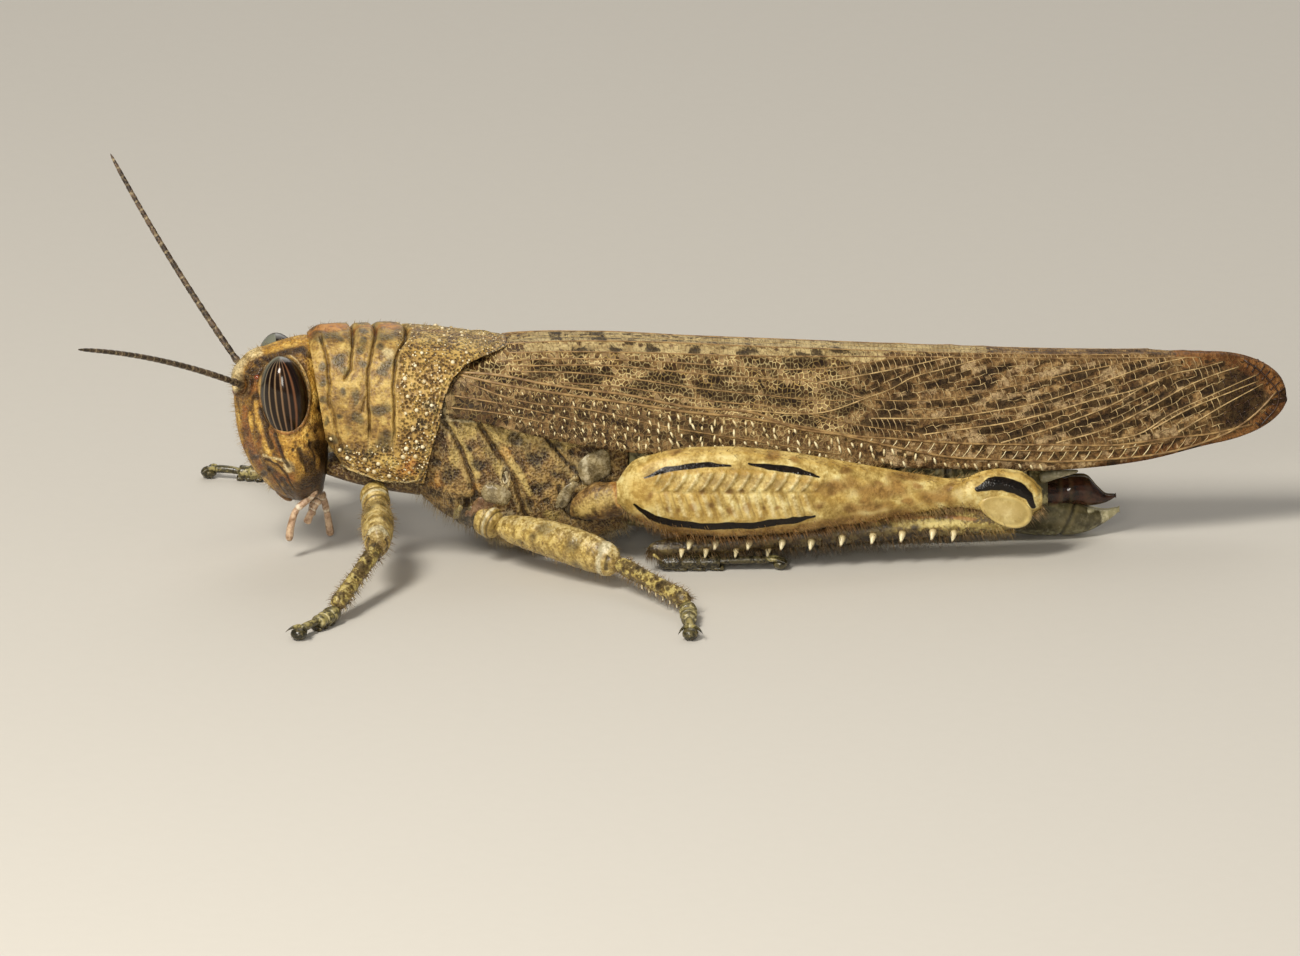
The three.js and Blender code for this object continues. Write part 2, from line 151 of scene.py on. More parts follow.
def marked(points, lines=(), spots=()):
    # lines: (colour, width, lift in mm, route); spots: (colour, lift, [(across, down, wide, high), ...])
    across, down = seen(points)
    # natural marks never run quite straight or round
    bent = np.sin(0.13 * across + 0.21 * down) + 0.5 * np.sin(0.38 * down - 0.27 * across + 4.1)
    bowed = np.sin(0.17 * down - 0.14 * across + 2.2) + 0.5 * np.sin(0.42 * down + 0.33 * across + 0.6)
    varied = 1 + 0.22 * np.sin(0.11 * across + 0.17 * down) + 0.2 * np.sin(0.31 * across - 0.23 * down + 2)
    lift = np.zeros(across.shape)
    paint = np.zeros(across.shape + (4,))
    for colour, width, raised, route in lines:
        reach = lineReach(across + 0.4 * bent, down + 0.4 * bowed, route)
        lift += raised * bump(reach, width * 0.55)
        if colour:
            channel, strength = channels[colour]
            share = 1 - reach * (0.4 + 0.6 * varied) / width
            if colour == "ink":  # a clean edge and thin ends
                ends = np.minimum(*(np.hypot(across - x, down - y) for x, y in (route[0], route[-1])))
                share = 0.5 + (0.5 * width * np.clip(0.3 + ends / 30, 0, 1) - reach) / 2.4
            np.maximum(paint[..., channel], strength * np.clip(share, 0, 1), out=paint[..., channel])
    for colour, raised, places in spots:
        channel, strength = channels[colour]
        field = paint[..., channel]
        for x, y, wide, high in places:
            reach = np.hypot((across + 1.2 * bent - x) / wide, (down + 1.2 * bowed - y) / high) * varied
            lift += raised * bump(reach, 0.5)
            np.maximum(field, strength * np.clip(1 - reach, 0, 1), out=field)
    return lift, np.clip(paint, 0, 1)


def skin(points, paint=None, lift=None, wrap=True, form=None):
    # A grid laid onto the lattice of points, pushed out by lift. The colours follow it as attributes.
    normal = outwards(points, wrap)
    rows, columns = points.shape[0] - 1, points.shape[1] - 1
    lift = np.zeros(points.shape[:2]) if lift is None else lift
    points = points + normal * lift[..., None]
    if wrap:
        points[:, -1] = points[:, 0]
    hollow = blurred(lift, 3) - lift
    shape = np.zeros(points.shape[:2] + (4,))
    shape[..., 0] = np.clip(hollow / 0.07, 0, 1)  # grooves, for painted shade and some dirt in the colour
    shape[..., 1] = np.clip(-hollow / 0.07, 0, 1)  # edges, painted paler: wear and painted highlight
    shape[..., 2] = 1 if form is None else form  # how pitted the surface is
    shape[..., 3] = 1
    bm = bmesh.new()
    bm.loops.layers.uv.new("plan")
    bmesh.ops.create_grid(bm, x_segments=columns, y_segments=rows, size=0.5, calc_uvs=True)
    mesh = bpy.data.meshes.new("skin")
    bm.to_mesh(mesh)
    flat = np.empty(len(mesh.vertices) * 3)
    mesh.vertices.foreach_get("co", flat)
    i = np.rint((flat[0::3] + 0.5) * columns).astype(int)
    j = np.rint((flat[1::3] + 0.5) * rows).astype(int)
    mesh.vertices.foreach_set("co", points[j, i].ravel())
    for name, values in (("paint", np.zeros_like(shape) if paint is None else paint), ("form", shape)):
        attribute = mesh.color_attributes.new(name, "FLOAT_COLOR", "POINT")
        attribute.data.foreach_set("color", values[j, i].astype(np.float32).ravel())
    bm.clear()
    bm.from_mesh(mesh)
    if wrap:
        bmesh.ops.remove_doubles(bm, verts=bm.verts[:], dist=1e-4)
        bmesh.ops.recalc_face_normals(bm, faces=bm.faces[:])
    else:
        bm.faces.ensure_lookup_table()
        bm.normal_update()
        bm.verts.ensure_lookup_table()
        total = sum(bm.verts[k].normal.dot(Vector(normal[j[k], i[k]])) for k in range(0, len(i), 37))
        if total < 0:
            bmesh.ops.reverse_faces(bm, faces=bm.faces[:])
    bm.to_mesh(mesh)
    bm.free()
    return mesh, points, normal


def makePiece(name, mesh, material, nodes=()):
    mesh.transform(ontoFrame)
    mesh.name = name
    mesh.materials.clear()
    mesh.materials.append(material)
    mesh.shade_smooth()
    piece = bpy.data.objects.new(name, mesh)
    bpy.context.collection.objects.link(piece)
    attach(piece, "root")
    if nodes:
        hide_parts(*nodes)
    return piece


def mirrored(mesh):  # the other side of the body
    bm = bmesh.new()
    bm.from_mesh(mesh)
    bmesh.ops.transform(bm, matrix=Matrix.Scale(-1, 4, (0, 1, 0)), verts=bm.verts[:])
    bmesh.ops.reverse_faces(bm, faces=bm.faces[:])
    other = bpy.data.meshes.new("mirrored")
    bm.to_mesh(other)
    bm.free()
    return other


def closed(mesh):  # joins end caps to their rods, fills open bases and turns the faces outwards
    bm = bmesh.new()
    bm.from_mesh(mesh)
    bmesh.ops.remove_doubles(bm, verts=bm.verts[:], dist=2e-6)
    bmesh.ops.holes_fill(bm, edges=[edge for edge in bm.edges if edge.is_boundary], sides=0)
    bmesh.ops.recalc_face_normals(bm, faces=bm.faces[:])
    bm.to_mesh(mesh)
    bm.free()
    return mesh


# Materials
def colour(hexValue, alpha=1.0):
    parts = [int(hexValue[k:k + 2], 16) / 255 for k in (1, 3, 5)]
    return tuple(p / 12.92 if p <= 0.04045 else ((p + 0.055) / 1.055) ** 2.4 for p in parts) + (alpha,)


def add(tree, kind, settings=(), links=()):
    node = tree.nodes.new("ShaderNode" + kind)
    for key, value in dict(settings).items():
        if isinstance(value, str) and value.startswith("#"):
            value = colour(value)
        if key == "stops":
            band = node.color_ramp.elements
            while len(band) < len(value):
                band.new(0.5)
            for element, (position, hexValue) in zip(band, value):
                element.position, element.color = position, colour(hexValue)
        elif isinstance(key, str) and hasattr(node, key):
            setattr(node, key, value)
        else:
            node.inputs[key].default_value = value
    for key, source in dict(links).items():
        tree.links.new(node.inputs[key], source if isinstance(source,
                bpy.types.NodeSocket) else source.outputs[0])
    return node


def newMaterial(name):
    material = bpy.data.materials.new(name)
    material.use_nodes = True
    tree = material.node_tree
    tree.nodes.clear()
    return material, tree


def surfaced(tree, settings, links):  # the shader and the output that end every material
    shader = add(tree, "BsdfPrincipled", settings, links)
    add(tree, "OutputMaterial", {}, {"Surface": shader})


def chitin(name, look):
    # Sclerotised cuticle with mottles, marks, pits and a dull wax bloom; its shine comes off the grain.
    material, tree = newMaterial(name)
    place = add(tree, "TexCoord").outputs["Object"]
    broad, middle, fine = (add(tree, "TexNoise", {"Scale": 1000 / size, "Detail": detail, "Roughness": 0.6},
                               {"Vector": place})
                           for size, detail in ((look["mottle"], 2), (look["mottle"] * 0.4, 3),
                               (look["grain"], 4)))
    part = add(tree, "Math", {"operation": "MULTIPLY", 1: 0.25}, {0: fine})
    for share, layer in ((0.35, middle), (0.4, broad)):
        part = add(tree, "Math", {"operation": "MULTIPLY_ADD", 1: share}, {0: layer, 2: part})
    both = add(tree, "MapRange", {1: 0.415, 2: 0.59}, {0: part})
    base = add(tree, "ValToRGB", {"stops": look["base"]}, {"Fac": both}).outputs[0]
    paint = add(tree, "Attribute", {"attribute_name": "paint"})
    form = add(tree, "SeparateColor", {},
               {0: add(tree, "Attribute", {"attribute_name": "form"}).outputs["Color"]})
    parts = add(tree, "SeparateColor", {}, {0: paint.outputs["Color"]})
    speck = add(tree, "Math", {"operation": "MULTIPLY_ADD", 1: 0.5}, {0: middle, 2: add(
        tree, "Math", {"operation": "MULTIPLY", 1: 0.5}, {0: fine})})
    strew = look.get("ragged", 1.2)
    ragged = add(tree, "Math", {"operation": "MULTIPLY_ADD", 1: strew, 2: -0.5 * strew}, {0: speck})
    masks = {}
    for key, source in (("yellow", parts.outputs[1]), ("rust", parts.outputs[2]),
                        ("pale", paint.outputs["Alpha"]),
                        ("dark", parts.outputs[0])):
        field = add(tree, "Math", {"operation": "ADD"}, {0: source, 1: ragged})
        softness = look.get("softness", 0.25) * (0.8 if key == "dark" else 1.1)
        masks[key] = add(tree, "MapRange", {"interpolation_type": "SMOOTHSTEP", 1: 0.5 - softness,
                                            2: 0.5 + softness,
                                            4: look.get(key + "Strength", 0.85)}, {0: field})
        tint = add(tree, "ValToRGB", {"stops": look[key]}, {"Fac": both}).outputs[0]
        base = add(tree, "Mix", {"data_type": "RGBA"}, {0: masks[key], 6: base, 7: tint}).outputs[2]
    pits = add(tree, "TexVoronoi", {"Scale": 1000 / look["pit"], "Randomness": 0.85}, {"Vector": place})
    pitHole = add(tree, "MapRange", {1: 0.2, 2: 0.56, 3: 1, 4: 0}, {0: pits.outputs["Distance"]})
    pitted = add(tree, "Math", {"operation": "MULTIPLY"}, {0: pitHole, 1: form.outputs[2]})
    pitRimGlint = add(tree, "MapRange", {1: 0.56, 2: 0.8, 4: look.get("rim", 0.3)}, {0: pits.outputs["Distance"]})
    groove = add(tree, "Math", {"operation": "MULTIPLY"}, {0: form.outputs[0], 1: add(
        tree, "MapRange", {1: 0.3, 2: 0.7, 3: 0.5, 4: 1.4}, {0: middle})})
    # Painted shade in the pits and grooves, a painted glint on the pit rims, and paler edges that stand for wear
    # and painted highlight.
    for source, strength, tone in ((pitted, look["pitShade"], look["shade"]),
                                   (add(tree, "Math", {"operation": "MULTIPLY"},
                                        {0: pitRimGlint, 1: form.outputs[2]}), 1,
                                    look.get("pitGlintTone", "#dcc384")),
                                   (groove, look.get("grooveShade", 0.7), look["shade"]),
                                   (form.outputs[1], look.get("wearAndHighlightShare", 0.3), look.get("worn",
                                       "#d0b878"))):
        amount = add(tree, "Math", {"operation": "MULTIPLY", 1: strength, "use_clamp": True}, {0: source})
        base = add(tree, "Mix", {"data_type": "RGBA", 7: tone}, {0: amount, 6: base}).outputs[2]
    relief = add(tree, "Math", {"operation": "MULTIPLY_ADD", 1: -look.get("pitDepth", 0.9)},
                 {0: pitted, 2: add(
        tree, "Math", {"operation": "MULTIPLY", 1: 0.9}, {0: speck})})
    raised = add(tree, "Bump", {"Strength": look.get("bumpStrength", 0.9), "Distance": look["bump"] / 1000},
                 {"Height": relief})
    dull = add(tree, "MapRange", {1: 0.35, 2: 0.65, 3: look["rough"][0], 4: look["rough"][1]}, {0: fine})
    glossy = add(tree, "Mix", {"data_type": "FLOAT", 3: look.get("markRough", look["rough"][0])},
                 {0: masks["dark"], 2: dull})
    surfaced(tree, {"IOR": 1.5, "Specular IOR Level": look.get("shine", 0.5)},
                  {"Base Color": base, "Roughness": glossy, "Normal": raised})
    return material


# Camera, floor and lamps
def makeStage():
    stage = {"distance": 1.5, "wide": 1300, "high": 956, "sensor": 36, "floor": 3.0}
    camera = bpy.data.objects.new("camera", bpy.data.cameras.new("camera"))
    bpy.context.collection.objects.link(camera)
    aim = Vector(upward * (sight["down"] - stage["high"] / 2) * sight["step"])
    aim = ontoFrame @ aim
    camera.location = aim + Vector(backward) * stage["distance"]
    camera.rotation_mode = "QUATERNION"
    camera.rotation_quaternion = Vector(-backward).to_track_quat("-Z", "Y")
    camera.data.sensor_width = stage["sensor"]
    camera.data.lens = stage["sensor"] * stage["distance"] / (stage["wide"] * sight["step"] * 0.001)
    camera.data.clip_start, camera.data.clip_end = 0.01, 20
    bpy.context.scene.camera = camera

    bm = bmesh.new()
    bmesh.ops.create_grid(bm, x_segments=8, y_segments=8, size=stage["floor"] / 2)
    floorMesh = bpy.data.meshes.new("floor")
    bm.to_mesh(floorMesh)
    bm.free()
    material, tree = newMaterial("mattPaper")  # pale sheet with a faint tooth
    grain = add(tree, "TexNoise", {"Scale": 900, "Detail": 3},
                {"Vector": add(tree, "TexCoord").outputs["Object"]})
    tint = add(tree, "ValToRGB", {"stops": [(0.3, "#ccc8c0"), (0.7, "#cdc9c1")]}, {"Fac": grain})
    surfaced(tree, {"Roughness": 0.85}, {"Base Color": tint})
    floorMesh.materials.append(material)
    floor = bpy.data.objects.new("floor", floorMesh)
    bpy.context.collection.objects.link(floor)

    lamps = [  # name, place, size, power in W, colour
        ("key", (-0.20, -0.26, 0.36), 0.10, 2.15, (1.0, 0.95, 0.86)),
        ("front", (-0.085, -0.462, 0.165), 0.085, 0.78, (1.0, 0.95, 0.86)),
        ("fill", (0.40, -0.35, 0.16), 0.40, 0.15, (1.0, 0.96, 0.9)),
        ("back", (0.10, 0.45, 0.40), 0.35, 1.0, (1.0, 0.97, 0.92)),
    ]
    for name, place, size, watts, tone in lamps:
        lamp = bpy.data.objects.new(name, bpy.data.lights.new(name, "AREA"))
        lamp.data.shape = "RECTANGLE"
        lamp.data.size, lamp.data.size_y = size, 1.8 * size
        lamp.data.energy, lamp.data.color = watts, tone
        lamp.location = place
        lamp.rotation_mode = "QUATERNION"
        lamp.rotation_quaternion = (-Vector(place)).to_track_quat("-Z", "Y")
        bpy.context.collection.objects.link(lamp)
    world = bpy.data.worlds.new("studio")
    world.use_nodes = True
    world.node_tree.nodes["Background"].inputs[0].default_value = (1.0, 0.97, 0.93, 1)
    world.node_tree.nodes["Background"].inputs[1].default_value = 0.17
    bpy.context.scene.world = world
    bpy.context.scene.view_settings.view_transform = "Standard"


makeStage()
print("camera, floor and lamps")


# Head
def eyeReach(points):  # 1 on the outline of the eye as it shows
    across, down = seen(points)
    middle, level, wide, high = eyeSizes["outline"]
    across, down, lean = across - middle, down - level, eyeSizes["lean"]
    reach = np.hypot((across * math.cos(lean) - down * math.sin(lean)) / wide,
                     (across * math.sin(lean) + down * math.cos(lean)) / high)
    return reach + np.clip(1.9 - np.abs(points[..., 1]), 0, 1)


def makeHead():
    head = {
        "crown": 15.2, "chin": 3.6, "rings": 190, "sides": 240,
        # [height, front, back, half width]
        "section": [(3.6, -25.1, -23.1, 1.9), (4.3, -25.9, -22.5, 2.6), (5.4, -26.8, -22.2, 3.4),
                    (6.8, -27.6, -22.1, 4.0),
                    (8.3, -28.15, -22.2, 4.3), (10.4, -28.45, -22.3, 4.15), (12.0, -28.5, -22.4, 3.75),
                    (13.1, -28.25, -22.5, 3.3), (13.9, -27.4, -22.55, 2.8), (14.7, -26.0, -22.6, 2.1),
                    (15.2, -24.7, -22.9, 1.1)],
        "lines": [
            ("dark", 6, -0.05, [(266, 359.5), (279, 355), (292, 352), (304, 351), (313, 357)]),
            ("yellow", 10, 0.12, [(252, 356), (262, 352), (275, 347.5), (288, 343), (300, 340.5),
                                  (311, 341)]),
            ("yellow", 13, 0, [(262, 345), (275, 340), (288, 335), (300, 332), (311, 331)]),
            ("pale", 7.5, 0.1, [(237.5, 388), (239.5, 375), (244, 366), (250.5, 359.5), (262, 355)]),
            ("yellow", 3.2, 0.03, [(238, 396), (241, 420), (245, 442), (252, 462), (264, 478), (276, 492)]),
            ("rust", 6, 0, [(246, 408), (249, 430), (254, 449), (262, 468)]),
            ("yellow", 3.6, 0.06, [(251.5, 413), (253.5, 431)]),
            ("yellow", 4.6, 0.1, [(257.5, 402), (259, 412), (261, 423), (264, 436), (268, 449), (277, 461)]),
            ("dark", 4.6, -0.1, [(263, 410), (266, 425), (269.5, 437), (273, 448)]),
            ("rust", 6, 0.03, [(273, 432), (278, 443), (283, 454)]),
            ("dark", 3.4, -0.08, [(277.5, 434), (280.5, 445), (284, 455), (290, 466)]),
            ("yellow", 13, 0.12, [(286, 433), (290.5, 447), (296, 461), (301, 475)]),
            ("dark", 4.5, -0.08, [(301, 449), (305, 459), (309, 472)]),
            ("dark", 2.2, -0.03, [(311, 440), (316, 456), (318, 474)]),
            ("pale", 2.4, 0.06, [(265, 455), (275, 457), (287, 461)]),
            ("dark", 2.2, -0.07, [(266, 459), (278, 463), (289, 476), (297, 492)]),
            ("dark", 2.4, -0.05, [(270, 470), (281, 486), (291, 499)]),
            # Painted shadow: a dark band where the back of the head meets the shield.
            ("dark", 12, -0.1, [(322, 446), (330, 462), (334, 485)]),
        ],
        "spots": [
            # The deep spots low at the back of the head are painted shadow between head and shield over the dark
            # jaws; the ones by the eye are marks.
            ("deep", -0.06, [(254, 371, 9, 6), (262, 365, 9, 5), (249, 381, 7, 7), (319, 487, 22, 28),
                             (331, 472, 10, 30), (327, 458, 8, 20),
                             (304, 496, 17, 14), (313, 468, 6, 14), (289, 489, 7, 9)]),
            ("dark", -0.1, [(249, 392, 10, 11), (256, 398, 10, 9), (268, 361, 9, 6), (318, 430, 4, 6),
                            (314, 446, 6, 6), (322, 410, 4, 6), (309, 437, 4, 4), (296, 449, 4, 5),
                            (268, 424, 4, 6), (272, 470, 8, 8), (283, 482, 8, 8), (257, 458, 6, 7),
                            (266, 474, 6, 6), (262, 371, 8, 7), (320, 392, 5, 7)]),
            ("rust", 0, [(251, 388, 18, 18), (247, 445, 7, 24), (279, 480, 12, 10), (263, 440, 7, 12),
                         (292, 478, 14, 10)]),
            # The large dark spots at the bottom and back of the head: the dark jaws, and painted shade under the
            # head.
            ("dark", -0.04, [(316, 490, 42, 40), (333, 466, 24, 48), (300, 496, 18, 18), (305, 461, 9, 14)]),
            ("pale", 0, [(289, 467, 8, 8)]),
            ("yellow", 0, [(314, 385, 14, 60), (306, 438, 16, 18), (296, 436, 20, 12), (262, 428, 8, 20)]),
        ],
        "socket": (-28.3, 1.2, 12.3),
    }
    section = through(head["section"])
    v, u = lattice(head["rings"], head["sides"])
    eased = (1 - np.cos(np.pi * v)) / 2
    z = head["crown"] + (head["chin"] - head["crown"]) * eased
    front, back, half = section(z)
    dome = np.sqrt(np.clip(1 - np.abs(2 * eased - 1) ** 16, 0, 1))
    fore, side = np.cos(2 * np.pi * u), np.sin(2 * np.pi * u)
    x = (front + back) / 2 + dome * fore * (back - front) / 2
    y = dome * side * half * (1 + 0.2 * fore - 0.05 * fore * fore)
    points = np.stack([x, y, z], -1)
    lift, paint = marked(points, head["lines"], head["spots"])
    reach = eyeReach(points)
    across = np.abs(points[..., 1])
    facing = np.clip((-26.2 - x) / 1.2, 0, 1)
    lift += 0.05 * bump(reach - 1.07, 0.035) - 0.05 * bump(reach - 1.18,
            0.06) - 0.6 * np.clip((1.02 - reach) / 0.12, 0, 1)
    # Painted shade: the skin just inside the eye's outline is painted dark, a dark crease where eye and head
    # meet.
    paint[..., 0] = np.maximum(paint[..., 0], np.clip((1.03 - reach) / 0.03, 0, 1))
    shown = seen(points)
    ring = bump(reach - 1.08, 0.045)
    paint[..., 1] *= 1 - bump(reach - 1.08, 0.06)
    paint[..., 2] = np.maximum(paint[..., 2], 0.95 * ring * (shown[1] > 396))
    # Painted highlight: a pale thin line on the rim behind the eye's upper back.
    paint[..., 3] = np.maximum(paint[..., 3], 0.75 * bump(reach - 1.09,
            0.03) * (shown[0] > 292) * (shown[1] < 400))
    lift += facing * (0.26 * bump(across, 0.85) - 0.2 * bump(across, 0.28) * np.clip((12.6 - z) / 1.5, 0, 1))
    socket = np.linalg.norm(points * (1, 0, 1) + (0, 1, 0) * across[..., None] - head["socket"], axis=-1)
    lift += 0.12 * bump(socket - 0.85, 0.2) - 0.3 * bump(socket, 0.6)
    mesh, points, normal = skin(points, paint, lift)
    cuticle = chitin("headCuticle", {  # waxy ochre capsule: small mottles, low gloss
        "mottle": 0.8, "grain": 0.18, "bump": 0.04, "pit": 0.16, "pitShade": 0.3, "shade": "#2c1a08",
        "ragged": 0.8,
        "base": [(0.0, "#4c3112"), (0.4, "#745120"), (0.65, "#8f692b"), (1.0, "#a67f3a")], "rim": 0.08,
        "yellow": [(0.1, "#a77a2c"), (0.5, "#c7963a"), (0.9, "#e8c064")], "rust": [(0.1, "#5c3210"),
            (0.9, "#9c5e22")],
        "pale": [(0.2, "#b79f6a"), (0.8, "#e2cf9f")], "dark": [(0.2, "#1b0e05"), (0.8, "#3b2410")],
        "rough": (0.34, 0.55), "wearAndHighlightShare": 0.1, "shine": 0.4})
    makePiece("headCapsule", mesh, cuticle, ["head"])
    return cuticle, (points, normal, paint)


headCuticle, headSkin = makeHead()
print("head")


def makeEyes():
    # Polished compound eye: dark meridian bands parted by thin cream lines that meet above and below.
    eye = {"rings": 72, "sides": 128,
           # [angle round the eye, half width, tone]
           "bandLines": [(-80, 0.008, "#85806a"), (-60, 0.009, "#8a7c62"), (-41.5, 0.009, "#8e775a"),
                         (-24, 0.009, "#8a7052"),
                         (-8, 0.009, "#8a6c50"), (7.5, 0.009, "#7a5c46"), (23, 0.013, "#7d5236"),
                         (40, 0.006, "#2a160e"),
                         (62, 0.008, "#3f2316")]}
    material, tree = newMaterial("polishedEyeLens")
    place = add(tree, "TexCoord").outputs["Object"]
    parts = add(tree, "SeparateXYZ", {}, {0: add(tree, "UVMap", {"uv_map": "plan"})})
    stops = [(0.0, "#160702")]
    for line, width, tone in eye["bandLines"]:
        at = line / 360 + 0.5
        stops += [(at - width, "#0f0401"), (at, tone), (at + width, "#0f0401")]
    stops += [(1.0, "#160702")]
    wobble = add(tree, "TexNoise", {"Scale": 1000 / 1.2, "Detail": 2}, {"Vector": place})
    bent = add(tree, "Math", {"operation": "MULTIPLY_ADD", 1: 0.006, 2: -0.003}, {0: wobble})
    lengthwise = add(tree, "Math", {"operation": "ADD"}, {0: parts.outputs[0], 1: bent})
    base = add(tree, "ValToRGB", {"stops": stops}, {"Fac": lengthwise}).outputs[0]
    # Painted reflection: a grey-green sheen mixed into the colour over the upper front of the eye and at its top
    # pole.
    topPaintedSheen = add(tree, "MapRange", {"interpolation_type": "SMOOTHSTEP", 1: 0.45, 2: 0.88, 4: 0.8},
                  {0: parts.outputs[1]})
    frontPaintedSheen = add(tree, "MapRange", {"interpolation_type": "SMOOTHSTEP", 1: 0.35, 2: 0.23, 4: 0.85},
                    {0: parts.outputs[0]})
    polePaintedSheen = add(tree, "MapRange", {"interpolation_type": "SMOOTHSTEP", 1: 0.86, 2: 1.0, 4: 0.3},
                   {0: parts.outputs[1]})
    paintedSheen = add(tree, "Math", {"operation": "MULTIPLY"}, {0: topPaintedSheen, 1: frontPaintedSheen})
    for share in (paintedSheen, polePaintedSheen):
        base = add(tree, "Mix", {"data_type": "RGBA", 7: "#8a8d7c"}, {0: share, 6: base}).outputs[2]
    # finer in life
    facets = add(tree, "TexVoronoi", {"Scale": 1000 / 0.06, "Randomness": 0.15}, {"Vector": place})
    raised = add(tree, "Bump", {"Strength": 0.12, "Distance": 0.00002},
                 {"Height": facets.outputs["Distance"]})
    surfaced(tree, {"Roughness": 0.34, "IOR": 1.5, "Specular IOR Level": 0.12,
                                           "Specular Tint": "#ffd0a4", "Coat Weight": 0.62,
                                           "Coat Roughness": 0.12},
                  {"Base Color": base, "Normal": raised})
    v, u = lattice(eye["rings"], eye["sides"])
    polar, meridian = np.pi * v, 2 * np.pi * (u - 0.5)
    wide, deep, high = eyeSizes["radii"]
    x = wide * np.sin(meridian) * np.sin(polar)
    y = -deep * np.cos(meridian) * np.sin(polar) ** 0.7  # fuller above and below than a ball
    z = -high * np.cos(polar)
    lean = eyeSizes["lean"]
    x, z = x * math.cos(lean) - z * math.sin(lean), x * math.sin(lean) + z * math.cos(lean)
    centre = np.array(eyeSizes["centre"]) * (1, -1, 1)
    mesh = skin(np.stack([x, y, z], -1) + centre)[0]
    other = mirrored(mesh)
    makePiece("eyeLeft", mesh, material, ["eye_left"])
    makePiece("eyeRight", other, material, ["eye_right"])


makeEyes()
print("eyes")


# Shield over the first body ring
def makeShield():
    shield = {
        "front": -23.6, "lean": 0.16, "rings": 230, "sides": 270,
        # [place, ridge, lower edge, half width]
        "section": [(-23.6, 15.3, 8.4, 3.9), (-22.9, 15.8, 7.1, 4.15), (-22.2, 15.9, 6.1, 4.35),
                    (-20.0, 15.9, 5.2, 4.75),
                    (-17.8, 15.9, 5.1, 5.1), (-15.8, 15.6, 5.1, 5.4), (-13.8, 15.35, 5.3, 5.6), (-12.0, 15.05,
                        6.0, 5.6),
                    (-9.6, 14.75, 8.0, 5.2)],
        "hindEdge": [(4.0, -16.0), (6.2, -15.85), (8.3, -15.45), (10.4, -14.85), (12.4, -14.35),
                     (13.65, -13.5),
                     (14.3, -12.35), (14.55, -11.3), (14.75, -9.9)],  # [height, place]
        "sulci": [
            (None, 2.4, -0.32, [(354.8, 324), (354, 340), (353.6, 358.5), (351.8, 370.6), (346, 379)]),
            (None, 2.4, -0.32, [(376.7, 321), (376, 340), (373, 353.6), (370, 368), (369.4, 395),
                                (370.6, 413), (371, 441)]),
            (None, 2.4, -0.32, [(408.8, 324), (407, 338), (400, 350), (396.7, 364.5), (394.8, 382.7),
                                (395.5, 407),
                               (396, 425), (394.8, 443)]),
            (None, 2.4, -0.14, [(368, 395), (366, 403), (364, 412)]),
            (None, 3.2, -0.22, [(322, 338), (326.5, 350), (330, 366), (331, 385), (330.6, 402), (336, 419),
                                (339, 437),
                                  (345, 455)]),
        ],
        "rims": [
            ("rust", 8, 0.04, [(312, 335), (330, 328), (352, 325), (376, 324), (404, 324), (440, 327),
                               (480, 331),
                               (510, 337)]),
            ("rust", 11, 0, [(318, 324), (352, 318), (404, 316), (440, 319), (480, 323), (510, 330)]),
            ("pale", 1.6, 0.1, [(337, 462), (352, 470), (370.6, 476), (379, 479.7), (407, 482), (419, 480)]),
            # Painted shade: a dark line in the crease under the lower rim.
            ("dark", 4.5, -0.14, [(336, 468), (352, 475), (370, 481), (390, 486), (415, 487)]),
            # Painted shadow: a thin dark line along the hind edge, where the shield overhangs the wing.
            ("dark", 1.3, 0, [(508, 343), (489, 354), (473, 366), (458.5, 376.5), (447.5, 392), (441, 415),
                              (436, 439),
                              (431, 463), (422, 481)]),
            ("yellow", 1.8, 0.09, [(503, 339), (484, 350), (468, 362.5), (454, 373), (443, 389), (436.5, 414),
                                   (431.5, 438),
                                   (427, 462), (418, 479)]),
        ],
        "patches": [
            ("dark", 0, [(328, 337, 34, 8), (342.7, 339, 8, 6), (364.5, 341, 8, 7), (362.7, 350.6, 9, 7),
                         (364.5, 365, 10, 9),
                         (389.4, 337, 18, 8), (381.5, 348.8, 8, 7), (391, 364.5, 10, 9), (382.7, 371.8, 9, 8),
                         (341.5, 359.7, 13, 11), (346.4, 370.6, 9, 9), (356.7, 401, 8, 15), (342, 416.7, 9,
                             7),
                         (358.5, 416.7, 11, 9), (382.7, 410.6, 15, 11), (382.7, 436, 17, 9), (386.4, 447, 17,
                             10),
                         (324, 366, 7, 8), (324.5, 384, 7, 8), (324.5, 399, 7, 8), (329, 421.5, 7, 8),
                         (333, 438.5, 7, 8),
                         (431, 404.5, 15, 10), (424, 426.4, 17, 8), (419, 444.5, 19, 12), (421.5, 467.6, 11,
                             8),
                         (350, 450, 16, 10), (372, 455, 12, 8), (364, 333, 9, 6), (346, 392, 6, 6),
                         (350, 432, 8, 8)]),
            ("pale", 0.03, [(387.6, 354.8, 13, 10)]),
            ("yellow", 0.04, [(348.8, 387.6, 17, 18), (385, 388, 17, 17), (344, 347, 12, 8),
                              (361, 380, 9, 10), (470, 343, 34, 11), (435, 340, 24, 11),
                              (386, 421, 11, 9), (388, 462, 20, 12), (343, 405, 10, 9), (384, 400, 12, 7),
                              (362, 432, 10, 12)]),
            ("rust", 0, [(412, 468, 16, 16)]),
        ],
    }
    section, hindAt = through(shield["section"]), through(shield["hindEdge"])
    lips = np.concatenate([[0, 0, 0], np.linspace(0, 1, shield["rings"]), [1, 1, 1]])
    shrink = np.concatenate([[0.0, 0.7, 0.955], np.ones(shield["rings"]), [0.965, 0.7, 0.0]])
    share, angle = np.meshgrid(lips, np.linspace(-np.pi / 2, 1.5 * np.pi, shield["sides"] + 1), indexing="ij")
    up = np.sin(angle)

    def standing(x):
        ridge, lower, half = section(x)
        waist = lower + 0.42 * (ridge - lower)
        z = np.where(up > 0, waist + power(up, 1.05) * (ridge - waist), waist + power(up,
                0.38) * (waist - lower))
        return power(np.cos(angle), 0.72) * half, z

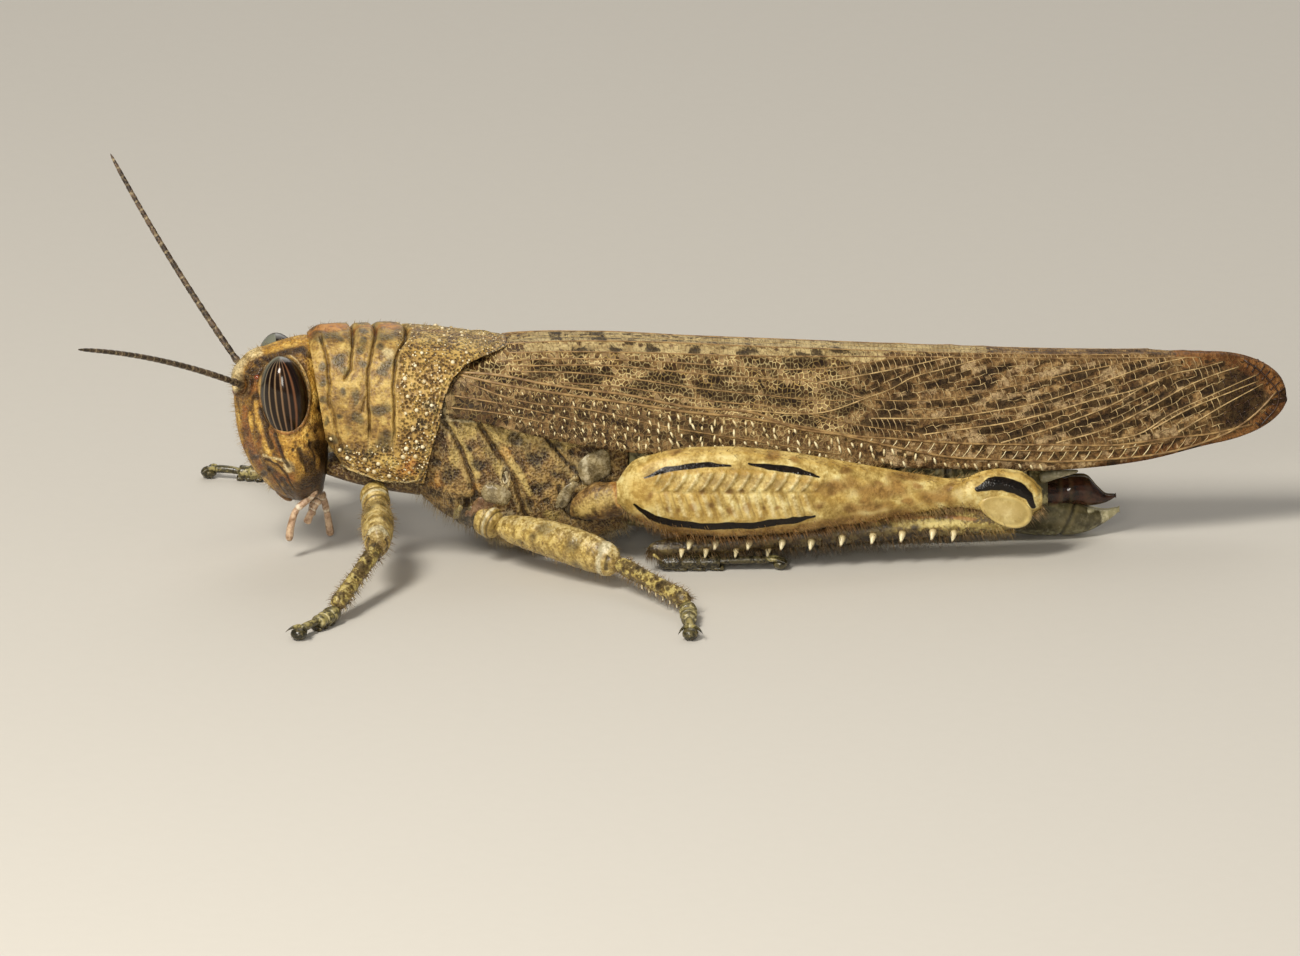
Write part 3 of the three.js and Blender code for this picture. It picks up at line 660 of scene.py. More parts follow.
    end = np.full(angle.shape, -14.0)
    for _ in range(14):
        end = 0.5 * end + 0.5 * hindAt(standing(end)[1])[0]
    x = shield["front"] + share * (end - shield["front"])
    y, z = standing(x)
    x = x + shield["lean"] * np.maximum(0, 15.3 - z) * (1 - share)
    points = np.stack([x, y, z], -1)
    core = np.array([[-21.5, 0, 11.0]]) * (1 - share[:, :1]) + np.array([[-16.5, 0, 11.0]]) * share[:, :1]
    points = core[:, None] + (points - core[:, None]) * shrink[:, None, None]
    across, down = seen(points)
    lift, paint = marked(points, shield["sulci"] + shield["rims"], shield["patches"])
    for *_, route in shield["sulci"][:3]:  # the furrows are widest and deepest over the back
        lift -= 0.34 * bump(lineReach(across, down, route), 3.0) * np.clip((350 - down) / 20, 0, 1)
    under = np.clip((down - np.interp(across, (336, 370, 395, 415), (466, 478, 483, 484))) / 3, 0, 1)
    lift -= 0.3 * under  # inside the lower rim the plate turns in
    # Below the lower rim the turned-in plate is painted dark: the dark membrane there, and painted shade under
    # the rim.
    paint[..., 0] = np.maximum(paint[..., 0], 0.8 * under)
    behind = np.clip((across - 396) / 10, 0, 1)
    low = np.clip((down - 442) / 12, 0, 1)
    form = (0.2 + 0.8 * np.maximum(behind, low)) * np.clip((down - 327) / 7, 0.2, 1)
    lift[:3] = lift[-3:] = 0
    mesh, points, normal = skin(points, paint, lift, form=form)
    # leathery plate, densely pitted behind, with dull golden rims round the pits, partly a painted glint
    cuticle = chitin("shieldCuticle", {
        "mottle": 1.2, "grain": 0.2, "bump": 0.09, "pit": 0.2, "pitShade": 0.72, "shade": "#2c1a08",
        "pitDepth": 1.3,
        "base": [(0.0, "#6a4e22"), (0.4, "#8d6c34"), (0.65, "#a98743"), (1.0, "#c0a058")], "ragged": 0.95,
        "rim": 0.5,
        "yellow": [(0.2, "#a88740"), (0.8, "#cfb266")], "rust": [(0.2, "#93521a"), (0.8, "#c68436")],
        "pale": [(0.2, "#b3a070"), (0.8, "#d6c79a")], "dark": [(0.2, "#2e2917"), (0.8, "#544a2c")],
        "rough": (0.36, 0.62), "darkStrength": 0.8, "grooveShade": 0.5, "pitGlintTone": "#caa75c"})
    tree = treeOf(mesh)
    makePiece("shield", mesh, cuticle, ["pronotum"])
    return (points, normal, paint), tree


shieldSkin, shieldTree = makeShield()
print("shield")


# Middle and hind body rings
def roundedBox(section, start, end, rings, sides, fullness, cap=4):
    share = np.concatenate([np.zeros(cap), np.linspace(0, 1, rings), np.ones(cap)])
    shrink = np.concatenate([np.linspace(0, 0.97, cap), np.ones(rings), np.linspace(0.97, 0, cap)])
    share, angle = np.meshgrid(share, np.linspace(-np.pi / 2, 1.5 * np.pi, sides + 1), indexing="ij")
    x = start + (end - start) * share
    top, bottom, half = through(section)(x)
    y = shrink[:, None] * power(np.cos(angle), fullness) * half
    z = (top + bottom) / 2 + shrink[:, None] * power(np.sin(angle), fullness) * (top - bottom) / 2
    return np.stack([x, y, z], -1)


def makeThorax():
    thorax = {
        "section": [(-16.8, 12.2, 5.0, 3.6), (-15.6, 12.6, 3.9, 4.5), (-14.2, 12.9, 2.7, 4.9), (-12.6, 13.05,
            1.7, 5.1),
                    (-10.8, 13.2, 1.0, 5.1), (-8.5, 13.2, 0.65, 5.1), (-5.0, 13.0, 0.75, 4.9),
                    (-1.8, 12.2, 1.5, 4.3)],
        "lines": [
            (None, 4.5, -0.34, [(443, 416), (447, 424), (457, 440.5), (465, 458), (471.5, 475), (477, 494)]),
            (None, 4.5, -0.34, [(479, 419), (481, 426), (489, 439), (501, 458), (510, 471), (517, 486),
                                (524, 511.5),
                                (532, 524), (545, 536)]),
            # Painted shade: dark lines in the groove and the V-shaped gap before the hind hip.
            ("dark", 3, -0.34, [(546.5, 438), (558.6, 454), (570.6, 467), (576, 473)]),
            ("dark", 4, -0.3, [(575, 470), (588, 482), (600, 477), (612, 473)]),
            ("yellow", 5, 0.1, [(452, 424), (463, 441), (471, 458), (478, 476)]),
            ("yellow", 6, 0.12, [(487, 423), (497, 439), (508, 457), (520, 473), (530, 492)]),
            ("pale", 2.5, 0.08, [(443, 419), (460, 421), (481, 422.5)]),
            # Painted shade: dark lines round the cup of the middle hip and along the gap by the hind hip.
            ("dark", 7, -0.3, [(462, 522), (466, 506), (478, 499), (488, 496)]),
            ("dark", 4, -0.16, [(559, 487), (563, 507), (573, 517), (590, 521)]),
            ("pale", 4, 0.1, [(571, 482), (580, 471), (592, 462), (606, 455)]),
        ],
        "spots": [
            ("dark", -0.12, [(451, 477, 15, 14), (469, 448.6, 9, 9), (481, 467, 12, 10), (438, 463, 9, 12),
                             (517, 440.5, 15, 14),
                             (537, 458, 17, 15), (540, 487, 14, 9), (435, 494, 10, 8), (465, 501, 10, 8),
                             (452, 500, 8, 8),
                             (497, 448, 8, 8), (548, 500, 10, 7), (470, 487, 7, 7), (556, 474, 9, 7),
                             (531, 505, 9, 9),
                             (556, 446, 10, 7), (572, 452, 8, 7)]),
            # Painted shade in the hollows: the cup of the middle hip and the gap before the hind hip.
            ("dark", -0.3, [(474, 520, 30, 34), (571, 503, 18, 26), (590, 482, 34, 9)]),
            ("pale", 0.2, [(496, 492, 22, 15), (596, 464, 24, 16), (448, 408, 14, 30), (506, 519, 22, 14)]),
            # The wide yellow patch under the wing is the plate's yellow, made larger as painted light against the
            # wing's shadow.
            ("yellow", 0, [(470, 430, 26, 18), (518, 434, 60, 26), (565, 442, 30, 16), (500, 466, 14, 16),
                           (455, 455, 10, 16),
                           (550, 515, 14, 10), (480, 512, 12, 8)]),
            ("rust", 0.02, [(478, 488, 12, 14), (505, 455, 12, 12), (440, 480, 10, 14)]),
        ],
        "spiracle": (506, 477),
    }
    points = roundedBox(thorax["section"], -16.8, -1.8, 170, 300, 0.72)
    lift, paint = marked(points, thorax["lines"], thorax["spots"])
    across, down = seen(points)
    slit = np.hypot((across - thorax["spiracle"][0]) / 3.6, (down - thorax["spiracle"][1]) / 7.5)
    lift += 0.18 * bump(slit - 1.25, 0.3) - 0.28 * np.clip(1.2 - slit, 0, 1)
    # The spiracle's pale rim, with a painted highlight on it, and its opening painted dark as painted shade.
    paint[..., 3] = np.maximum(paint[..., 3], 0.8 * bump(slit - 1.3, 0.25))
    paint[..., 0] = np.maximum(paint[..., 0], np.clip(1.5 - slit, 0, 1))
    bottom = np.clip((2.0 - points[..., 2]) / 1.0, 0, 1)
    keel = np.abs(points[..., 1])
    lift += bottom * (0.1 * bump(keel, 0.6) - 0.12 * bump(keel - 1.9, 0.3))
    lift[:5] = lift[-5:] = 0
    mesh, points, normal = skin(points, paint, lift)
    tree = treeOf(mesh)
    cuticle = chitin("flankCuticle", {  # pitted ochre side plates under a short bloom of down
        "mottle": 1.1, "grain": 0.2, "bump": 0.075, "pit": 0.2, "pitShade": 0.35, "shade": "#2b1d0d",
        "ragged": 1.0,
        "base": [(0.0, "#462f16"), (0.4, "#694c26"), (0.65, "#846434"), (1.0, "#a3824a")], "rim": 0.3,
        "yellow": [(0.2, "#a18846"), (0.8, "#cbb068")], "rust": [(0.2, "#8c5c24"), (0.8, "#b5823c")],
        "pale": [(0.2, "#85785c"), (0.8, "#b8ab8a")], "dark": [(0.2, "#1f160c"), (0.8, "#43341f")],
        "rough": (0.38, 0.62)})
    makePiece("thoraxPlates", mesh, cuticle, ["thorax"])
    return cuticle, (points, normal, paint), tree


flankCuticle, flankSkin, flankTree = makeThorax()
print("thorax")


def strands(routes, resolution=0):  # fine rods along routes of (points, radii), all in one mesh
    curve = bpy.data.curves.new("strands", "CURVE")
    curve.dimensions, curve.bevel_depth, curve.bevel_resolution = "3D", 1.0, resolution
    curve.use_fill_caps = True
    for points, radii in routes:
        spline = curve.splines.new("POLY")
        spline.points.add(len(points) - 1)
        spline.points.foreach_set("co", np.column_stack([points, np.ones(len(points))]).ravel())
        spline.points.foreach_set("radius", np.broadcast_to(radii, len(points)).astype(np.float32))
    holder = bpy.data.objects.new("strands", curve)
    bpy.context.collection.objects.link(holder)
    made = bpy.data.meshes.new_from_object(holder.evaluated_get(bpy.context.evaluated_depsgraph_get()))
    bpy.data.objects.remove(holder)
    return closed(made)


# Fore wings, folded like a roof
wingRows = through([  # [place, top edge, lower edge, shoulder half width, lower half width]
    (-14.4, 13.5, 10.95, 2.7, 5.3), (-12.0, 14.2, 10.5, 2.45, 5.75), (-9.5, 14.72, 9.85, 2.2, 5.95),
    (-4.0, 14.85, 8.6, 1.9, 6.05),
    (3.0, 14.45, 7.7, 1.65, 5.9), (12.0, 13.95, 6.8, 1.4, 5.2), (20.0, 13.5, 6.15, 1.2, 4.3),
    (28.0, 13.15, 5.65, 0.95, 3.4),
    (34.0, 13.0, 6.0, 0.8, 2.6), (39.0, 12.9, 6.95, 0.65, 1.9), (43.95, 12.8, 7.3, 0.45, 1.0)])


wingEnd = {"start": 39.0, "reach": 4.96, "middle": 9.93}  # where the rounded tip begins, its length and height


def wingLattice(start, end, firstAcross, lastAcross, rows, columns, sunk=0.0):
    v, u = lattice(rows, columns)
    x = start + (end - start) * (1 - (1 - v) ** 1.35)
    top, low, shoulder, flank = wingRows(x)
    past = x > wingEnd["start"]
    tip = np.sqrt(np.clip(1 - (np.maximum(x - wingEnd["start"], 0) / wingEnd["reach"]) ** 2, 0, 1))
    top, low = (np.where(past, wingEnd["middle"] + (edge - wingEnd["middle"]) * tip, edge) for edge in (top, low))
    t = firstAcross + (lastAcross - firstAcross) * u
    corners = [(-0.05, top), (-1.45 * shoulder, top + 0.25), (-0.84 * flank, top + (low - top) * 0.28),
               (-flank, low)]
    weights = [(1 - t) ** 3, 3 * t * (1 - t) ** 2, 3 * t * t * (1 - t), t ** 3]
    y = sum(w * c[0] for w, c in zip(weights, corners))
    z = sum(w * c[1] for w, c in zip(weights, corners))
    points = np.stack([x, np.minimum(y, -0.04), z], -1)
    return points - outwards(points, False) * sunk


def upRoute(route, steps=3.5):  # a bent line cut into even short steps
    route = np.array(route, float)
    length = np.concatenate([[0], np.cumsum(np.hypot(*np.diff(route, axis=0).T))])
    at = np.linspace(0, length[-1], max(2, int(length[-1] / steps)))
    smooth = through(np.column_stack([length, route]))
    return np.array(smooth(at)).T


def makeWings():
    wing = {"rows": 400, "columns": 74, "thick": 0.07, "vein": 0.066, "cross": 0.032, "net": 0.03,
            "rim": 0.068, "dash": 0.09}
    longVeins = [  # routes of the long veins, base to tip
        [(460, 373), (501, 376), (542, 384), (583, 390), (624, 395), (685, 407), (760, 415), (791, 427),
         (842, 435),
         (895, 439), (954, 443), (1060, 445), (1115, 445), (1172, 437.6), (1210, 433.7), (1252, 424)],
        [(460, 375.5), (501, 384.5), (562, 394.5), (624, 403), (685, 412), (740, 417.6), (821.6, 431),
         (903, 449), (944, 456.4),
         (1000, 459.6), (1057, 461.5), (1115, 458.6), (1163, 453), (1201, 443), (1239, 426), (1264, 405),
         (1275.5, 391.7)],
        [(471, 384), (501, 396), (532, 403.6), (583, 409), (660, 426), (760, 442), (840, 455)],
        [(511, 367), (603, 366), (695, 374), (760, 379), (817.5, 383), (862, 398), (893, 401), (944, 399),
         (1000, 389),
         (1060, 376), (1119, 364), (1160, 357)],
        [(817.5, 383), (854, 377), (903, 367.6), (954, 356)],
        [(740, 410.5), (828, 411.5), (866.5, 398), (891, 389), (909, 379), (944, 369), (985, 358)],
        [(870.6, 418.7), (944, 417.7), (1000, 410), (1038, 403), (1063, 395.5), (1092, 386), (1119, 376),
         (1145, 367), (1184, 358)],
        [(921.6, 435), (964.5, 429), (1000, 424), (1048, 413), (1096, 399), (1134, 390), (1172, 374),
         (1201, 368), (1222, 362)],
        [(1000, 443), (1038, 432), (1073, 420), (1115, 403), (1145, 386), (1160, 380)],
        [(1055.5, 443), (1107, 428), (1149, 407), (1191, 384), (1216, 374), (1238, 367)],
        [(1107, 441), (1138, 434), (1172, 413), (1210, 395.5), (1249, 378), (1256, 375)],
        [(1152, 429), (1184, 411), (1230, 392), (1258, 381)],
        [(1178, 432), (1220, 407), (1262, 384)],
        [(1000, 450), (1057, 451), (1115, 449), (1163, 442)],
        [(507, 353.6), (562, 352.5), (644, 353.6), (760, 356.6), (850, 357), (935, 357.5), (1050, 358.5),
         (1150, 358),
         (1200, 357.5)],
        [(500, 345), (560, 342), (644, 342.5), (760, 347), (860, 350.5), (960, 353.5), (1060, 355),
         (1150, 354.5)],
        [(500, 362), (560, 359.5), (644, 361.5), (720, 366), (800, 370), (850, 366), (905, 356)],
        [(505, 372), (583, 374), (644, 381), (700, 389), (760, 395), (828, 401), (866, 398)],
        [(560, 383), (624, 388), (700, 400), (790, 410), (850, 424), (921, 434)],
        [(455, 396), (501, 404), (560, 417), (620, 430)],
        [(452, 408), (500, 414), (550, 424)],
    ]
    patches = [
        ("deep", 0, [(583, 376, 34, 16), (664.5, 384, 40, 17), (725.7, 394, 40, 17), (545, 372, 22, 9)]),
        ("dark", 0, [(632, 390, 28, 15), (780, 396, 46, 20),
                     (581, 351.5, 15, 7), (615.5, 351.5, 14, 7), (654, 351.5, 15, 7), (695, 352, 15, 7),
                     (746, 353.5, 16, 8),
                     (558, 341, 12, 4), (575, 341, 10, 4), (597, 341, 12, 4), (630, 343, 12, 4),
                     (545, 366, 26, 10),
                     (806, 364, 44, 17), (838, 392, 32, 20), (872, 424, 36, 15), (874, 377, 30, 15),
                     (800, 420, 34, 13),
                     (765, 366, 34, 15), (840, 352, 26, 8), (700, 366, 34, 13), (893, 410, 26, 12),
                     (640, 368, 24, 13),
                     (520, 380, 32, 11), (905, 386, 22, 14), (925, 364, 26, 10), (722, 377, 32, 13),
                     (850, 408, 30, 12)]),
        ("yellow", 0.12, [(450, 405, 13, 30), (447, 388, 9, 12)]),
        # Pale patches at the wing base: pale membrane with painted highlights on its crumples.
        ("pale", 0.16, [(463, 382, 14, 13), (448, 402, 9, 20), (503, 361, 13, 5)]),
        # Painted shadow: dark folds under the shield's hind edge at the wing base.
        ("dark", 0, [(492, 368, 20, 6)]),
        ("dark", 0, [(477, 362, 26, 6), (470, 378, 16, 5)]),
    ]
    points = wingLattice(-14.4, 43.94, 0, 1, wing["rows"], wing["columns"])
    lift, paint = marked(points, [("yellow", 9, 0, [(530, 348), (600, 349), (700, 351), (800, 355),
            (880, 357)]),
                                  ("yellow", 6, 0, [(780, 350), (900, 351), (960, 352)]),
                                  ("yellow", 3.5, 0, [(930, 352), (985, 352.5)]),
                                  ("faint", 1.6, 0, [(500, 341), (560, 338), (640, 340), (760, 346)])],
                                  patches)
    across, down = seen(points)
    crown = np.clip((np.interp(across, (500, 850, 1150), (344, 352, 354)) - down) / 3, 0, 1)
    paint[..., 1] = np.maximum(paint[..., 1], 0.75 * crown * np.clip((1160 - across) / 190, 0, 1))
    streaks = [(966, 401), (1039, 386), (1092, 370), (1058, 398), (1132, 390), (1161, 403), (1241, 396),
               (1208, 368), (1191, 380),
               (996, 423), (1022, 429.5), (923, 429.5), (876, 419.5), (939, 383), (946, 368), (996, 370),
               (1069, 374), (1072, 418),
               (1092, 421), (1125, 426), (1155, 406), (1178, 416), (1198, 410), (886, 364), (900, 400),
               (1225, 405), (1216, 388),
               (1238, 385), (1250, 404), (1180, 395), (1105, 402), (1010, 402), (980, 385), (1145, 373),
               (1010, 440), (1120, 412)]
    for x, y in streaks:
        reach = lineReach(across, down, [(x - 13, y + 3.8), (x + 13, y - 3.8)])
        np.maximum(paint[..., 0], np.clip(1.2 - reach / 4.2, 0, 1), out=paint[..., 0])
    # every cell of the outer net has its own tone
    above = sum((down > np.interp(across, *np.array(route).T, left=1e4,
                                  right=1e4)).astype(int) for route in longVeins)
    row = np.floor((down + 0.33 * across) / 6.5)
    key = np.floor((across + 5 * (row % 3)) / 15) * 7.31 + above * 3.77 + row * 1.93
    cellTone = (np.sin(key * 12.9898) * 43758.5453) % 1.0
    outer = np.clip((across - 850) / 40, 0, 1) * np.clip((down - 357) / 5, 0, 1)
    paint[..., 0] = np.maximum(paint[..., 0], outer * np.clip(0.86 - cellTone * 2.4, 0, 1))
    paint[..., 3] = np.maximum(paint[..., 3], outer * np.clip(cellTone * 1.8 - 0.9, 0,
            1) * np.clip((1230 - across) / 60, 0, 1))
    below = np.clip((down - np.interp(across, *np.array(longVeins[1]).T) - 2) / 6, 0,
                    1) * np.clip((900 - across) / 200, 0, 1)
    paint[..., 0] = np.maximum(paint[..., 0], 0.5 * below)
    trunk = np.clip(1.3 - lineReach(across, down, [(460, 374), (542, 388), (640, 403), (700, 411)]) / 9, 0, 1)
    paint[..., 0] = np.maximum(paint[..., 0], 0.6 * trunk)
    dice = np.random.default_rng(7)
    for route in longVeins:  # the sheet stands up along its veins, and short dark streaks lie beside them
        reach = lineReach(across, down, route)
        lift += 0.07 * bump(reach, 4.0)
    for route in longVeins[3:13]:
        line = upRoute(route, 4)
        k = dice.integers(0, 5)
        while k < len(line) - 3:
            span = int(dice.integers(4, 9))
            x, y = line[k]
            if x > 850:
                shift = dice.choice((-5.0, 5.0))
                streak = line[k:k + span] + (0, shift)
                reach = lineReach(across, down, [tuple(p) for p in streak])
                np.maximum(paint[..., 0], 0.85 * np.clip(1 - reach / 5, 0, 1), out=paint[..., 0])
            k += span + int(dice.integers(4, 10))
    paint[..., 0] *= np.where(across > 880, np.clip((down - 357) / 5, 0, 1), 1)
    edge = lineReach(across, down, [(1000, 466), (1071, 468), (1115, 466), (1172, 460), (1210, 454),
                                    (1249, 441), (1272, 421),
                                    (1283, 407), (1285, 395.5), (1276, 382), (1264, 369), (1247, 357),
                                    (1225, 351),
                                    (1191, 349)])
    rusty = np.clip(1.2 - edge / 22, 0, 1) * np.clip((across - 1060) / 90, 0, 1)
    paint[..., 0] = np.maximum(paint[..., 0], 0.66 * np.clip((across - 1180) / 50, 0,
            1) * np.clip((edge - 9) / 10, 0.35, 1))
    paint[..., 2] = np.maximum(paint[..., 2], rusty)
    radial = np.interp(across, *np.array(longVeins[1]).T)
    ownNet = np.maximum(np.clip((across - 835) / 40, 0, 1), 0.7 * np.clip((down - radial - 2) / 4, 0, 1))
    mesh = skin(points, paint, lift, wrap=False, form=np.maximum(ownNet, paint[..., 1]))[0]
    tree = treeOf(mesh)
    print("wing skin")

    def laid(route, radius, out=0.02):  # a route given in steps, laid on the wing
        hits = [landing(tree, x, y) for x, y in route]
        hits = [hit for hit in hits if hit]
        if len(hits) < 2:
            return None
        return np.array([p + n * out for p, n in hits]), radius

    sorts = {"long": [], "ray": [], "cross": [], "tip": [], "dash": []}
    for number, route in enumerate(longVeins):
        line = upRoute(route, 5)
        taper = np.linspace(1.0, 0.6, len(line)) * (1.6 if number < 2 else 0.85)
        strand = laid(line, 1.0)
        if strand:
            sorts["ray" if 3 < number < 13 else "long"].append((strand[0], wing["vein"] * np.interp(
                np.linspace(0, 1, len(strand[0])), np.linspace(0, 1, len(line)), taper)))
    # cross veins and nets between neighbouring long veins, column by column
    heights = [through([(x, y) for x, y in route]) for route in longVeins]
    step, cell = 6.0, 8.5
    nodes, jitter = {}, lambda key: nodes.setdefault(key, dice.uniform(-1.4, 1.4, 2))
    for i, x in enumerate(np.arange(462, 1262, step)):
        here = sorted((float(h(x)[0]), n) for n, (h, r) in enumerate(zip(heights,
                longVeins)) if r[0][0] <= x <= r[-1][0])
        for (y0, first), (y1, second) in zip(here[:-1], here[1:]):
            gap = y1 - y0
            if gap < 3.5:
                continue
            ladder = (first, second) in ((0, 1), (0, 13), (13, 1))
            count = 1 if ladder and gap < 22 else max(1, round(gap / cell))
            if not ladder and x < 850:
                continue
            if ladder and i % 2:
                continue
            slant = -0.7 if ladder else 0.35
            kind = "dash" if ladder and 760 < x < 1150 else "tip" if x > 1222 else "cross"
            for row in range(count):
                if count > 1 and (i + row) % 2:
                    continue
                a = y0 + gap * row / count
                b = y0 + gap * (row + 1) / count
                da = jitter((first, i, row)) if 0 < row else (0, 0)
                db = jitter((first, i, row + 1)) if row + 1 < count else (0, 0)
                lean = slant * (b - a) / 2
                route = [(x - lean + da[0], a + da[1]), (x + (da[0] + db[0]) / 2 + 0.8, (a + b) / 2),
                         (x + lean + db[0], b + db[1])]
                strand = laid(route, wing["cross"] if count == 1 else wing["net"])
                if strand:
                    sorts[kind].append(strand)
            for row in range(1, count):
                a = y0 + gap * row / count
                da, db = jitter((first, i, row)), jitter((first, i + 1, row))
                nextGap = float(heights[second](x + step)[0] - heights[first](x + step)[0])
                if x + step > min(longVeins[first][-1][0],
                                  longVeins[second][-1][0]) or round(nextGap / cell) != count:
                    continue
                b = float(heights[first](x + step)[0]) + nextGap * row / count
                strand = laid([(x + da[0], a + da[1]), (x + step + db[0], b + db[1])], wing["net"])
                if strand:
                    sorts[kind].append(strand)
    # rows of raised cream dashes below the radial vein, and the cells along the tip's margin
    lower = through([(460, 398), (520, 428), (600, 450), (680, 452), (800, 462), (900, 472), (1000, 476),
                     (1060, 468)])
    for x in np.arange(500, 1056, 10.6):
        top, bottom = float(heights[1](x)[0]) + 7, float(lower(x)[0])
        for y in np.arange(top, bottom, 8.8):
            px, py = x + dice.uniform(-2.6, 2.6), y + dice.uniform(-2, 2)
            tilt = dice.uniform(-0.3, 0.9)
            size = 3.3 * dice.uniform(0.5, 1.15) * min(1, 0.35 + (x - 500) / 260)
            strand = laid([(px - size * tilt * 0.7, py - size), (px, py), (px + size * tilt * 0.7,
                    py + size)],
                          wing["dash"] * np.array((0.6, 1.1, 0.6)) * min(1, 0.5 + (x - 500) / 400), 0.03)
            if strand and len(strand[0]) == 3:
                sorts["dash"].append(strand)
    for x in np.arange(456, 640, 5.2):
        top, bottom = float(heights[1](x)[0]) + 4, float(lower(x)[0]) - 2
        for y in np.arange(top, bottom, 5.4):
            px, py = x + dice.uniform(-1.6, 1.6), y + dice.uniform(-1.4, 1.4)
            tilt = dice.uniform(-0.5, 0.9)
            strand = laid([(px - 1.9 * tilt, py - 1.9), (px + 1.9 * tilt, py + 1.9)], wing["net"])
            if strand:
                sorts["cross" if dice.random() < 0.5 else "tip"].append(strand)
    rim = [(1172, 458), (1210, 451), (1246, 438), (1266, 419), (1277, 405), (1278.5, 395), (1270, 382),
           (1258, 370), (1243, 360)]
    inner = laid(upRoute(rim, 5), wing["rim"])
    sorts["tip"].append(inner)
    ring = upRoute(rim, 6.5)
    for a, b in zip(ring, ring[1:]):
        aside = np.array((-(b - a)[1], (b - a)[0]))
        aside = aside / np.hypot(*aside) * 7
        for direction in (1, -1):
            strand = laid([a, a + direction * aside * (1 if direction > 0 else 0.8)], wing["rim"] * 0.9)
            if strand:
                sorts["tip"].append(strand)
    print("wing veins:", {key: len(value) for key, value in sorts.items()})

    membrane = makeWingMembrane()
    shell = mesh.copy()
    bm = bmesh.new()
    bm.from_mesh(shell)
    bmesh.ops.solidify(bm, geom=bm.faces[:], thickness=wing["thick"])
    bm.to_mesh(shell)
    bm.free()
    sheets = {"Left": shell, "Right": mirrored(shell)}
    rods = {key: strands(value, 1 if key in ("long", "ray") else 0) for key, value in sorts.items()}
    for side, sheet in sheets.items():
        makePiece("foreWing" + side, sheet, membrane, ["tegmen_" + side.lower()])
        for key, tones in (("long", ("#6f5230", "#aa8a58")), ("ray", ("#8a6f45", "#c9ac78")),
                           ("cross", ("#846c46", "#c0a777")), ("tip", ("#26150b", "#452a16")),
                           ("dash", ("#c4ac74", "#efe2b8"))):
            rod = rods[key].copy() if side == "Left" else mirrored(rods[key])
            makePiece(key + "Veins" + side, rod, makeVein(key, tones))


def makeVein(key, tones):
    # Hollow chitin rods, harder and glossier than the film between them.
    name = key + "VeinChitin"
    if name in bpy.data.materials:
        return bpy.data.materials[name]
    material, tree = newMaterial(name)
    grain = add(tree, "TexNoise", {"Scale": 1000 / 0.6, "Detail": 3},
                {"Vector": add(tree, "TexCoord").outputs["Object"]})
    tint = add(tree, "ValToRGB", {"stops": [(0.35, tones[0]), (0.62, tones[1])]}, {"Fac": grain})
    raised = add(tree, "Bump", {"Strength": 0.3, "Distance": 0.00002}, {"Height": grain})
    surfaced(tree, {"Roughness": 0.42}, {"Base Color": tint, "Normal": raised})
    return material


